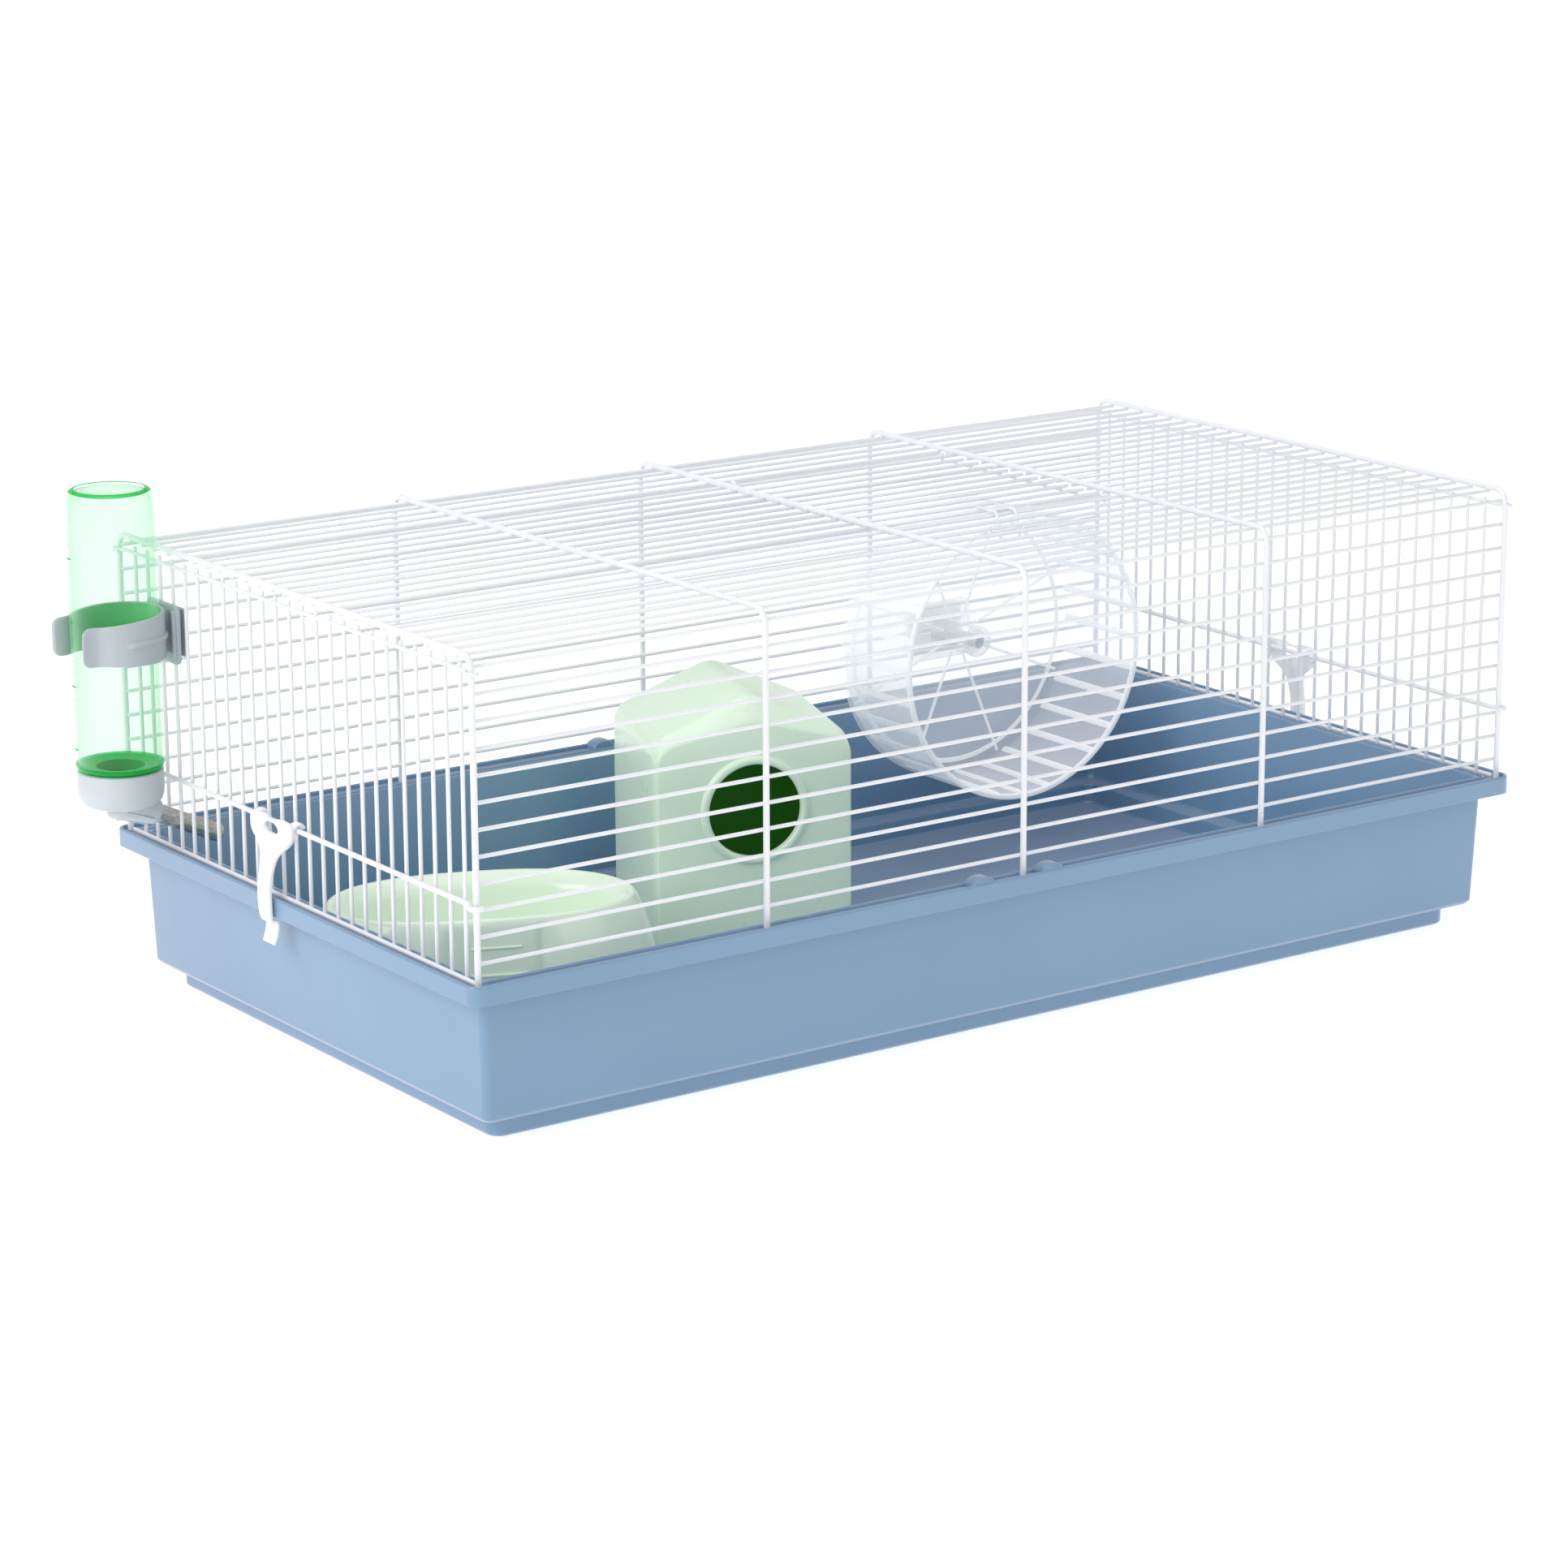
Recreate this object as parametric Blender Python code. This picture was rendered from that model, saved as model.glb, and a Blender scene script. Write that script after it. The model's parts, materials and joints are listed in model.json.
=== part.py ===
"""Hamster cage: blue moulded tray, white wire top with a hinged roof door,
two swing clips, a drinking bottle in a ring holder, an exercise wheel,
a small house and a food bowl.  Units are metres, Z is up.

Origin: centre of the tray's underside.  X runs along the length, Y from
front to back.
"""
import math

import bpy
from mathutils import Matrix, Vector

MM = 0.001

# ---------------------------------------------------------------- dimensions
# All lengths below are in millimetres.
LEG_X = 285.2            # end hoops' leg axes, half distance
LEG_Y = 151.5            # front/back leg axes, half distance
RIM_Z = 74.9             # reference height of the tray rim
ROOF_Z = RIM_Z + 137.7   # axis height of the hoops' top bars
HOOP_R = 1.4             # hoop wire radius
WIRE_R = 0.9             # fine wire radius
MID_R = 1.2              # clip-carrying wire radius
BITE = 0.4               # depth of a weld where wires cross
HOOPS_X = (-285.2, -140.4, -1.5, 137.2, 285.2)
PITCH_Z = 11.4           # spacing of the wall wires
WALL_Z0 = RIM_Z + 7.3    # lowest wall wire
WALL_N = 12
PITCH_Y = 2.0 * LEG_Y / 26.0   # spacing of roof wires and end wires
GAP = 0.3

WALL_IN = HOOP_R + WIRE_R - BITE       # wall wires sit inside the legs
ROOF_WZ = ROOF_Z - WALL_IN             # roof wires hang under the bars

DOOR_FRONT_K = 9         # fixed roof wire in front of the door
DOOR_HINGE_K = 20        # fixed roof wire that carries the door
DOOR_X0, DOOR_X1 = 1.9, 133.9
DOOR_SIDE = (5.1, 130.7)

MID_Z = RIM_Z + 32.2
TOP_Z = RIM_Z + 130.6
LOW_Z = RIM_Z - 0.8
LEDGE_Z = RIM_Z - 2.3    # ledge inside the rim that the wire top stands on

BOTTLE_X, BOTTLE_Y = -310.0, 9.5 * PITCH_Y   # tube passes between two uprights
BOT_Z = RIM_Z - 1.2
BOTTLE_R = 20.0
BOTTLE_Z0, BOTTLE_Z1 = BOT_Z + 29.3, BOT_Z + 169.0
CAP_Z0, CAP_Z1 = BOT_Z + 24.4, BOT_Z + 41.2
TUBE_SLOPE = math.radians(25.2)
TUBE_TIP = (-260.5, BOTTLE_Y, RIM_Z + 1.5)
TUBE_R, TUBE_BORE = 4.2, 3.5

WHEEL_X, WHEEL_Z = 177.3, RIM_Z + 30.3
WHEEL_Y0, WHEEL_Y1 = 73.5, 133.0
WHEEL_R = 73.0
WHEEL_RIBS = 28

HOUSE_X, HOUSE_Y, HOUSE_TURN = -11.7, 61.1, math.radians(-20.0)
HOUSE_W, HOUSE_D = 95.4, 88.0
HOUSE_EAVE, HOUSE_APEX = 101.0, 122.2
FLOOR_Z = 2.0
BOWL_X, BOWL_Y, BOWL_TURN = -178.2, 20.5, math.radians(-22.0)
BOWL_H = 52.0

# ------------------------------------------------------------------- clear
for ob in list(bpy.data.objects):
    bpy.data.objects.remove(ob, do_unlink=True)
for coll in list(bpy.data.collections):
    bpy.data.collections.remove(coll)

CAGE = bpy.data.collections.new("hamster_cage")
CUTS = bpy.data.collections.new("cutters")
bpy.context.scene.collection.children.link(CAGE)
bpy.context.scene.collection.children.link(CUTS)


def material(name, rgb, rough, metal=0.0, alpha=1.0, transmission=0.0):
    mat = bpy.data.materials.new(name)
    mat.use_nodes = True
    b = mat.node_tree.nodes["Principled BSDF"]
    b.inputs["Base Color"].default_value = (*rgb, 1.0)
    b.inputs["Roughness"].default_value = rough
    b.inputs["Metallic"].default_value = metal
    b.inputs["Alpha"].default_value = alpha
    b.inputs["Transmission Weight"].default_value = transmission
    mat.diffuse_color = (*rgb, alpha)
    return mat


def add(name, verts, faces, mat=None, coll=None):
    me = bpy.data.meshes.new(name)
    me.from_pydata([(x * MM, y * MM, z * MM) for x, y, z in verts], [], faces)
    me.validate()
    me.update()
    ob = bpy.data.objects.new(name, me)
    (coll or CAGE).objects.link(ob)
    if mat:
        me.materials.append(mat)
    return ob


def cutter(name, verts, faces):
    ob = add(name, verts, faces, None, CUTS)
    ob.hide_render = True
    ob.display_type = "WIRE"
    return ob


def boolean(ob, other, op):
    m = ob.modifiers.new(op.lower() + "_" + other.name, "BOOLEAN")
    m.operation = op
    m.solver = "EXACT"
    m.object = other
    return m


class Mesh:
    """Collects solid pieces into one list of vertices and faces."""

    def __init__(self):
        self.v, self.f = [], []

    def put(self, verts, faces):
        n = len(self.v)
        self.v += [tuple(p) for p in verts]
        self.f += [tuple(i + n for i in q) for q in faces]
        return self

    def box(self, x0, x1, y0, y1, z0, z1):
        v = [(x0, y0, z0), (x1, y0, z0), (x1, y1, z0), (x0, y1, z0),
             (x0, y0, z1), (x1, y0, z1), (x1, y1, z1), (x0, y1, z1)]
        f = [(0, 3, 2, 1), (4, 5, 6, 7), (0, 1, 5, 4),
             (1, 2, 6, 5), (2, 3, 7, 6), (3, 0, 4, 7)]
        return self.put(v, f)

    def along_x(self, x0, x1, y, z, r):
        return self.box(x0, x1, y - r, y + r, z - r, z + r)

    def along_y(self, y0, y1, x, z, r):
        return self.box(x - r, x + r, y0, y1, z - r, z + r)

    def along_z(self, z0, z1, x, y, r):
        return self.box(x - r, x + r, y - r, y + r, z0, z1)

    def rings(self, rings, closed=False):
        """Skin a list of equal rings; ends capped unless closed."""
        n = len(rings[0])
        base = len(self.v)
        for r in rings:
            self.v += [tuple(p) for p in r]
        last = len(rings) if closed else len(rings) - 1
        for k in range(last):
            a = base + k * n
            b = base + ((k + 1) % len(rings)) * n
            for i in range(n):
                j = (i + 1) % n
                self.f.append((a + i, a + j, b + j, b + i))
        if not closed:
            self.f.append(tuple(base + i for i in reversed(range(n))))
            e = base + (len(rings) - 1) * n
            self.f.append(tuple(e + i for i in range(n)))
        return self

    def arc_bar(self, centre, axis, r0, r1, half, a0, a1, steps):
        """Part of a flat ring about X, Y or Z, angles in degrees."""
        rings = []
        for k in range(steps + 1):
            t = math.radians(a0 + (a1 - a0) * k / steps)
            c, s = math.cos(t), math.sin(t)
            sec = []
            for r, h in ((r0, -half), (r1, -half), (r1, half), (r0, half)):
                p = {"Z": (r * c, r * s, h), "Y": (r * s, h, r * c),
                     "X": (h, r * c, r * s)}[axis]
                sec.append(tuple(centre[i] + p[i] for i in range(3)))
            rings.append(sec)
        return self.rings(rings)

    def cylinder(self, p0, p1, r0, r1, n):
        a, b = Vector(p0), Vector(p1)
        d = (b - a).normalized()
        u = d.orthogonal().normalized()
        w = d.cross(u)
        out = []
        for c, r in ((a, r0), (b, r1)):
            out.append([c + (u * math.cos(2 * math.pi * i / n) +
                             w * math.sin(2 * math.pi * i / n)) * r
                        for i in range(n)])
        return self.rings(out)


def outward(ob):
    """Make every shell of the mesh face out."""
    import bmesh
    bm = bmesh.new()
    bm.from_mesh(ob.data)
    bmesh.ops.recalc_face_normals(bm, faces=bm.faces)
    bm.to_mesh(ob.data)
    bm.free()
    return ob


def solid(name, mesh, mat):
    return outward(add(name, mesh.v, mesh.f, mat))


def tool(name, mesh):
    return outward(cutter(name, mesh.v, mesh.f))


def round_rect(hx, hy, r, z, n=5):
    pts = []
    for cx, cy, a in ((hx - r, hy - r, 0), (-hx + r, hy - r, 90),
                      (-hx + r, -hy + r, 180), (hx - r, -hy + r, 270)):
        for k in range(n + 1):
            t = math.radians(a + 90.0 * k / n)
            pts.append((cx + r * math.cos(t), cy + r * math.sin(t), z))
    return pts


# --------------------------------------------------------------- materials
BLUE = material("tray_blue", (0.165, 0.305, 0.500), 0.38)
WHITE = material("white_enamel", (0.86, 0.87, 0.90), 0.32)
WHITE_B = material("white_enamel_door", (0.86, 0.87, 0.90), 0.32)
CLIP = material("clip_white", (0.84, 0.86, 0.88), 0.40)
GREY = material("holder_grey", (0.42, 0.46, 0.50), 0.42)
CAPG = material("cap_grey", (0.60, 0.64, 0.66), 0.40)
GREEN = material("bottle_green", (0.30, 0.80, 0.45), 0.08, 0.0, 0.45)
MINT = material("mint_plastic", (0.50, 0.74, 0.55), 0.30, 0.0, 0.92)
MINT_B = material("mint_bowl", (0.50, 0.72, 0.56), 0.22)
CLEAR = material("clear_plastic", (0.86, 0.89, 0.91), 0.10, 0.0, 0.35)
STEEL = material("steel", (0.62, 0.60, 0.57), 0.25, 1.0)
RUBBER = material("seal_rubber", (0.70, 0.72, 0.70), 0.60)

# ------------------------------------------------------------------- tray
PROFILE = [                 # offset from the leg line, height, corner radius
    (-16.3, 0.0, 6.0), (-15.0, 1.2, 7.2), (-14.7, 9.4, 7.6),
    (-13.6, 10.3, 7.0), (-7.6, 10.4, 4.0), (-6.2, 12.2, 3.8),
    (-4.5, 61.0, 3.8), (-4.3, 70.9, 3.8), (3.9, 70.9, 5.0),
    (4.1, 66.2, 5.2), (5.8, 66.2, 6.8), (5.7, 74.2, 6.7),
    (5.3, 74.7, 6.3), (4.4, 74.7, 5.2), (3.9, 74.2, 4.6),
    (3.9, LEDGE_Z, 4.6), (-2.6, LEDGE_Z, 3.4), (-2.9, 73.7, 3.2),
    (-3.7, 73.7, 3.0), (-4.0, LEDGE_Z, 3.0), (-4.9, LEDGE_Z, 3.0),
    (-5.2, 73.4, 3.0), (-6.2, 73.4, 3.0), (-6.8, 72.4, 3.2),
    (-8.6, 14.0, 3.4), (-9.6, 12.4, 3.4), (-16.2, 12.2, 5.0),
    (-16.6, 11.6, 5.0), (-17.0, 3.0, 5.0), (-18.0, 2.0, 4.4)]
m = Mesh()
m.rings([round_rect(LEG_X + o, LEG_Y + o, r, z) for o, z, r in PROFILE])
tray = solid("base_tray", m, BLUE)
lug = Mesh()
for sx in (-26.4, 12.4):
    for sy in (-1.0, 1.0):
        rings = []
        for dy, s in ((5.0, 0.86), (4.2, 1.0), (-2.2, 1.0), (-3.2, 0.86)):
            sec = [(sx + 6.0 * s, sy * (LEG_Y + dy), 72.0)]
            for k in range(0, 9):
                t = math.pi * k / 8
                sec.append((sx + 6.0 * s * math.cos(t), sy * (LEG_Y + dy),
                            73.6 + 3.6 * s * math.sin(t)))
            sec.append((sx - 6.0 * s, sy * (LEG_Y + dy), 72.0))
            rings.append(sec)
        lug.rings(rings)
boolean(tray, tool("rim_lugs", lug), "UNION")

# ------------------------------------------------- front and back grilles
for name, s in (("front_grille", -1.0), ("back_grille", 1.0)):
    legs = Mesh()
    for x in HOOPS_X:
        legs.along_z(LEDGE_Z + GAP, ROOF_Z - HOOP_R - GAP, x, s * LEG_Y, HOOP_R)
    wires = Mesh()
    for k in range(WALL_N):
        wires.along_x(-LEG_X - 0.9, LEG_X + 0.9, s * (LEG_Y - WALL_IN),
                      WALL_Z0 + k * PITCH_Z, WIRE_R)
    ob = solid(name, legs, WHITE)
    boolean(ob, tool(name + "_wires", wires), "UNION")

# -------------------------------------------------------------------- roof
CUT_F = -LEG_Y + DOOR_FRONT_K * PITCH_Y + 5.2
CUT_R = -LEG_Y + DOOR_HINGE_K * PITCH_Y - 5.6
ENDS = LEG_Y + HOOP_R
STRIPS = (
    ("roof_front", HOOPS_X, -ENDS, CUT_F, range(1, DOOR_FRONT_K + 1)),
    ("roof_rear", HOOPS_X, CUT_R + GAP, ENDS, range(DOOR_HINGE_K, 26)),
    ("roof_left", HOOPS_X[:3], CUT_F + GAP, CUT_R,
     range(DOOR_FRONT_K + 1, DOOR_HINGE_K)),
    ("roof_right", HOOPS_X[3:], CUT_F + GAP, CUT_R,
     range(DOOR_FRONT_K + 1, DOOR_HINGE_K)))
for name, xs, y0, y1, ks in STRIPS:
    bars = Mesh()
    for x in xs:
        bars.along_y(y0, y1, x, ROOF_Z, HOOP_R)
    wires = Mesh()
    for k in ks:
        wires.along_x(xs[0] - 1.2, xs[-1] + 1.2, -LEG_Y + k * PITCH_Y,
                      ROOF_WZ, WIRE_R)
    ob = solid(name, bars, WHITE)
    boolean(ob, tool(name + "_wires", wires), "UNION")

# --------------------------------------------------------------- end panels
for name, s in (("left_end_panel", -1.0), ("right_end_panel", 1.0)):
    xv = s * (LEG_X - WALL_IN)
    x_thin = s * (LEG_X - WALL_IN + 2 * WIRE_R - BITE)
    x_mid = s * (LEG_X - WALL_IN + WIRE_R + MID_R - BITE)
    up = Mesh()
    for k in range(1, 26):
        up.along_z(LOW_Z - 0.5, TOP_Z + 2.4, xv, -LEG_Y + k * PITCH_Y, WIRE_R)
    cross = Mesh()
    cross.along_y(-LEG_Y + 2.9, LEG_Y - 2.9, x_thin, LOW_Z, WIRE_R)
    hooks = Mesh()
    for z, x, r in ((TOP_Z, x_thin, WIRE_R), (MID_Z, x_mid, MID_R)):
        cross.along_y(-LEG_Y + 2.9, LEG_Y - 2.9, x, z, r)
        for e in (-1.0, 1.0):
            # curl round the corner leg, open to the inside
            a_mid = 90.0 if e < 0 else -90.0
            turn = 1.0 if s * e > 0 else -1.0
            hooks.arc_bar((s * LEG_X, e * LEG_Y, z), "Z", 2.45, 4.15, 0.75,
                          a_mid - turn * 28.0, a_mid + turn * 215.0, 9)
    ob = solid(name, up, WHITE)
    boolean(ob, tool(name + "_cross", cross), "UNION")
    boolean(ob, tool(name + "_hooks", hooks), "UNION")

# ---------------------------------------------------------------- roof door
HINGE_Y = -LEG_Y + DOOR_HINGE_K * PITCH_Y
EDGE_Y = -LEG_Y + DOOR_FRONT_K * PITCH_Y
SIDE_Z = ROOF_WZ - WIRE_R - 1.0 + BITE
sides = Mesh()
for x in DOOR_SIDE:
    sides.along_y(EDGE_Y + 2.2, HINGE_Y - 1.9, x, SIDE_Z, 1.0)
rows = Mesh()
rows.along_x(DOOR_X0, DOOR_X1, EDGE_Y + 3.2, ROOF_WZ, WIRE_R)
for k in range(DOOR_FRONT_K + 1, DOOR_HINGE_K):
    rows.along_x(DOOR_X0, DOOR_X1, -LEG_Y + k * PITCH_Y, ROOF_WZ, WIRE_R)
door = solid("roof_door", sides, WHITE_B)
boolean(door, tool("door_rows", rows), "UNION")
eyes = Mesh()
for x in DOOR_SIDE:
    eyes.arc_bar((x, HINGE_Y, ROOF_WZ), "X", 1.55, 2.75, 0.8, 200.0, 520.0, 12)
boolean(door, tool("door_eyes", eyes), "UNION")

LATCH_X = 67.6
lat = Mesh()
for dx in (-5.5, 5.5):
    pts = [(EDGE_Y + 13.0, ROOF_WZ + WIRE_R + 1.05),
           (EDGE_Y - 1.9, ROOF_WZ + WIRE_R + 1.05),
           (EDGE_Y - 3.0, ROOF_WZ - 1.0),
           (EDGE_Y - 6.6, ROOF_WZ - 11.5)]
    rings = []
    for i, (y, z) in enumerate(pts):
        # square section turned to follow the bend
        if i == 0 or i == 3:
            a, b = (pts[0], pts[1]) if i == 0 else (pts[2], pts[3])
            d = Vector((b[0] - a[0], b[1] - a[1])).normalized()
            nrm = Vector((-d.y, d.x)) * 0.75
        else:
            d0 = Vector((pts[i][0] - pts[i - 1][0], pts[i][1] - pts[i - 1][1])).normalized()
            d1 = Vector((pts[i + 1][0] - pts[i][0], pts[i + 1][1] - pts[i][1])).normalized()
            n0, n1 = Vector((-d0.y, d0.x)), Vector((-d1.y, d1.x))
            mid = (n0 + n1).normalized()
            nrm = mid * (0.75 / max(0.5, mid.dot(n0)))
        x = LATCH_X + dx
        rings.append([(x - 0.75, y - nrm.x, z - nrm.y), (x + 0.75, y - nrm.x, z - nrm.y),
                      (x + 0.75, y + nrm.x, z + nrm.y), (x - 0.75, y + nrm.x, z + nrm.y)])
    lat.rings(rings)
latch = solid("door_latch", lat, WHITE_B)
bar = Mesh().box(LATCH_X - 5.3, LATCH_X + 5.3, EDGE_Y + 1.0, EDGE_Y + 5.4,
                 ROOF_WZ + WIRE_R + 0.5, ROOF_WZ + WIRE_R + 1.6)
boolean(latch, tool("latch_bar", bar), "UNION")

# -------------------------------------------------------------------- clips
for name, s, cy in (("left_clip", -1.0, PITCH_Y), ("right_clip", 1.0, 0.0)):
    hx = s * (LEG_X - WALL_IN + WIRE_R + MID_R - BITE)
    # one strip in XZ: plate, bowed stem, step under the rim, finger tab
    line = [(3.5, 3.1, 16.6, 0.9), (3.5, 0.5, 17.8, 1.1), (3.5, -4.0, 17.6, 1.1),
            (4.1, -8.5, 13.2, 1.1), (5.2, -12.5, 8.0, 1.1), (6.6, -18.0, 5.6, 1.1),
            (7.9, -25.0, 5.1, 1.1), (8.4, -31.0, 5.1, 1.1), (8.1, -38.0, 5.0, 1.0),
            (7.7, -42.2, 4.9, 0.9), (4.9, -42.9, 5.0, 0.9), (4.6, -45.7, 5.2, 0.9),
            (5.4, -49.2, 5.2, 0.9), (7.0, -53.4, 5.0, 0.8)]
    rings = []
    for i, (o, dz, wide, thick) in enumerate(line):
        p0, p1, p2 = (Vector(line[max(0, i - 1)][:2]), Vector((o, dz)),
                      Vector(line[min(len(line) - 1, i + 1)][:2]))
        e0 = (p1 - p0).normalized() if i else (p2 - p1).normalized()
        e1 = (p2 - p1).normalized() if i < len(line) - 1 else e0
        n0 = Vector((-e0.y, e0.x))
        n = (n0 + Vector((-e1.y, e1.x))).normalized()
        n *= thick / max(0.6, n.dot(n0))
        rings.append([(hx + s * (o - n.x), cy - wide, MID_Z + dz - n.y),
                      (hx + s * (o - n.x), cy + wide, MID_Z + dz - n.y),
                      (hx + s * (o + n.x), cy + wide, MID_Z + dz + n.y),
                      (hx + s * (o + n.x), cy - wide, MID_Z + dz + n.y)])
    clip = solid(name, Mesh().rings(rings), CLIP)
    ears = Mesh()
    for y in (-15.4, 15.4):
        # an open sleeve over the carrying wire, between two uprights
        ears.arc_bar((hx, cy + y, MID_Z), "Y", 1.85, 3.7, 2.2,
                     -s * 75.0, s * 165.0, 9)
    boolean(clip, tool(name + "_ears", ears), "UNION")
    eye = []
    for x in (hx, hx + s * 8.0):
        eye.append([(x, cy + 6.4 * math.cos(2 * math.pi * i / 16),
                     MID_Z - 1.5 + 2.9 * math.sin(2 * math.pi * i / 16)) for i in range(16)])
    boolean(clip, tool(name + "_eye", Mesh().rings(eye)), "DIFFERENCE")


# ------------------------------------------------------------------- bottle
def bottle_rings():
    """Hollow bottle, upside down: neck at the bottom, closed dished top."""
    out = [(12.3, BOTTLE_Z0), (12.3, BOT_Z + 41.4), (18.4, BOT_Z + 41.8),
           (20.0, BOT_Z + 43.6), (BOTTLE_R, BOTTLE_Z1 - 5.5),
           (18.6, BOTTLE_Z1 - 1.6), (15.6, BOTTLE_Z1), (10.0, BOTTLE_Z1 - 1.4),
           (2.0, BOTTLE_Z1 - 1.9)]
    ins = [(2.0, BOTTLE_Z1 - 3.3), (10.0, BOTTLE_Z1 - 2.8),
           (15.0, BOTTLE_Z1 - 1.6), (17.4, BOTTLE_Z1 - 2.8),
           (18.8, BOTTLE_Z1 - 6.0), (18.8, BOT_Z + 44.3),
           (17.6, BOT_Z + 43.2), (10.9, BOT_Z + 42.8), (10.9, BOTTLE_Z0)]
    return out, ins


out, ins = bottle_rings()
N = 24


def circle(r, z, cx, cy, n):
    return [(cx + r * math.cos(2 * math.pi * i / n),
             cy + r * math.sin(2 * math.pi * i / n), z) for i in range(n)]


# from the inner top down to the lip, then up the outside
bottle = solid("bottle", Mesh().rings(
    [circle(r, z, BOTTLE_X, BOTTLE_Y, N) for r, z in ins + out]), GREEN)

# ---------------------------------------------------------------- cap, tube
TD = Vector((math.cos(TUBE_SLOPE), 0.0, -math.sin(TUBE_SLOPE)))
TIP = Vector(TUBE_TIP)


def on_tube(back):
    return TIP - TD * back


cap_prof = [(17.4, CAP_Z0), (18.9, CAP_Z0 + 1.6), (19.4, CAP_Z1 - 1.0),
            (19.0, CAP_Z1), (12.8, CAP_Z1 - 0.1), (12.8, CAP_Z0 + 2.4)]
cap = solid("bottle_cap", Mesh().rings(
    [circle(r, z, BOTTLE_X, BOTTLE_Y, N) for r, z in cap_prof]), CAPG)
boss = Mesh().cylinder(on_tube(54.4), on_tube(36.0), 7.6, 5.7, 18)
boolean(cap, tool("cap_boss", boss), "UNION")
boolean(cap, tool("cap_trim", Mesh().cylinder(
    (BOTTLE_X, BOTTLE_Y, CAP_Z0 + 2.6), (BOTTLE_X, BOTTLE_Y, CAP_Z0 + 12.0),
    12.4, 12.4, 20)), "DIFFERENCE")
bore = Mesh().cylinder(on_tube(75.0), on_tube(30.0), TUBE_R + 0.15, TUBE_R + 0.15, 18)
boolean(cap, tool("cap_bore", bore), "DIFFERENCE")

seal_prof = [(6.8, CAP_Z0 + 2.7), (12.2, CAP_Z0 + 2.7),
             (12.2, BOTTLE_Z0 - 0.3), (6.8, BOTTLE_Z0 - 0.3)]
rings = []
for k in range(N):
    t = 2 * math.pi * k / N
    rings.append([(BOTTLE_X + r * math.cos(t), BOTTLE_Y + r * math.sin(t), z)
                  for r, z in seal_prof])
solid("bottle_seal", Mesh().rings(rings, closed=True), RUBBER)

# the drinking tube: bore open at the cap, necked down at the tip
tube_sec = [(TUBE_R, 47.6), (TUBE_R, 2.4), (3.7, 0.8), (3.0, 0.0), (2.5, 0.2),
            (3.0, 1.4), (TUBE_BORE, 2.8), (TUBE_BORE, 47.6)]
u = Vector((0.0, 1.0, 0.0))
w = TD.cross(u)
rings = []
for k in range(18):
    t = 2 * math.pi * k / 18
    rad = u * math.cos(t) + w * math.sin(t)
    rings.append([tuple(on_tube(b) + rad * r) for r, b in tube_sec])
solid("sipper_tube", Mesh().rings(rings, closed=True), STEEL)

BALL_R = 2.85
BALL_C = on_tube(2.2)
m = Mesh()
NB = 12
lat_rings = []
for a in (-80.0, -50.0, -20.0, 20.0, 50.0, 80.0):
    t = math.radians(a)
    lat_rings.append([tuple(BALL_C + TD * (BALL_R * math.sin(t)) +
                            (u * math.cos(2 * math.pi * i / NB) +
                             w * math.sin(2 * math.pi * i / NB)) *
                            (BALL_R * math.cos(t))) for i in range(NB)])
m.rings(lat_rings)
solid("sipper_ball", m, STEEL)

# ------------------------------------------------------------------- holder
HZ0, HZ1 = BOT_Z + 91.5, BOT_Z + 113.5
m = Mesh()
rings = []
for k in range(0, 21):
    a = -136.0 + 272.0 * k / 20
    t = math.radians(a)
    f = abs(a) / 136.0
    z0, z1 = HZ0 + 1.4 * f * f, HZ1 - 3.0 * f * f
    rings.append([(BOTTLE_X + r * math.cos(t), BOTTLE_Y + r * math.sin(t), z)
                  for r, z in ((20.5, z0), (22.4, z0), (22.4, z1), (20.5, z1))])
m.rings(rings)
holder = solid("bottle_holder", m, GREY)
tabs = Mesh()
for s in (-1.0, 1.0):
    rings = []
    for a, r, tk in ((126.0, 21.45, 0.8), (139.0, 22.6, 1.0), (147.0, 25.4, 1.0),
                     (150.0, 28.6, 0.9)):
        t = math.radians(a)
        c = Vector((BOTTLE_X + r * math.cos(t), BOTTLE_Y + s * r * math.sin(t)))
        g = math.radians(a - (0.0 if a < 130 else 38.0))
        nrm = Vector((math.cos(g), s * math.sin(g))) * tk
        z0, z1 = HZ0 + 1.6, HZ1 - 3.2
        rings.append([(c.x - nrm.x, c.y - nrm.y, z0), (c.x + nrm.x, c.y + nrm.y, z0),
                      (c.x + nrm.x, c.y + nrm.y, z1), (c.x - nrm.x, c.y - nrm.y, z1)])
    tabs.rings(rings)
boolean(holder, tool("holder_tabs", tabs), "UNION")
PX = -LEG_X
plate = Mesh()
plate.box(PX - 1.2, PX + 0.8, BOTTLE_Y - 14.0, BOTTLE_Y + 14.0, HZ0 - 4.0, HZ1 + 1.0)
boolean(holder, tool("holder_plate", plate), "UNION")
stem = Mesh().box(PX - 3.9, PX - 0.6, BOTTLE_Y - 7.0, BOTTLE_Y + 7.0, HZ0 + 1.0, HZ1 - 1.0)
boolean(holder, tool("holder_stem", stem), "UNION")
WEB_Y = 9.5 * PITCH_Y     # midway between two uprights
web = Mesh().box(PX + 0.2, PX + 4.2, WEB_Y - 3.0, WEB_Y + 3.0, HZ0 + 3.0, HZ1 - 3.0)
boolean(holder, tool("holder_web", web), "UNION")
jaw = Mesh().box(PX + 3.3, PX + 5.1, BOTTLE_Y - 13.0, BOTTLE_Y + 13.0, HZ0 - 1.0, HZ1 - 1.0)
boolean(holder, tool("holder_jaw", jaw), "UNION")

# -------------------------------------------------------------------- wheel
NW = WHEEL_RIBS * 3


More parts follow.
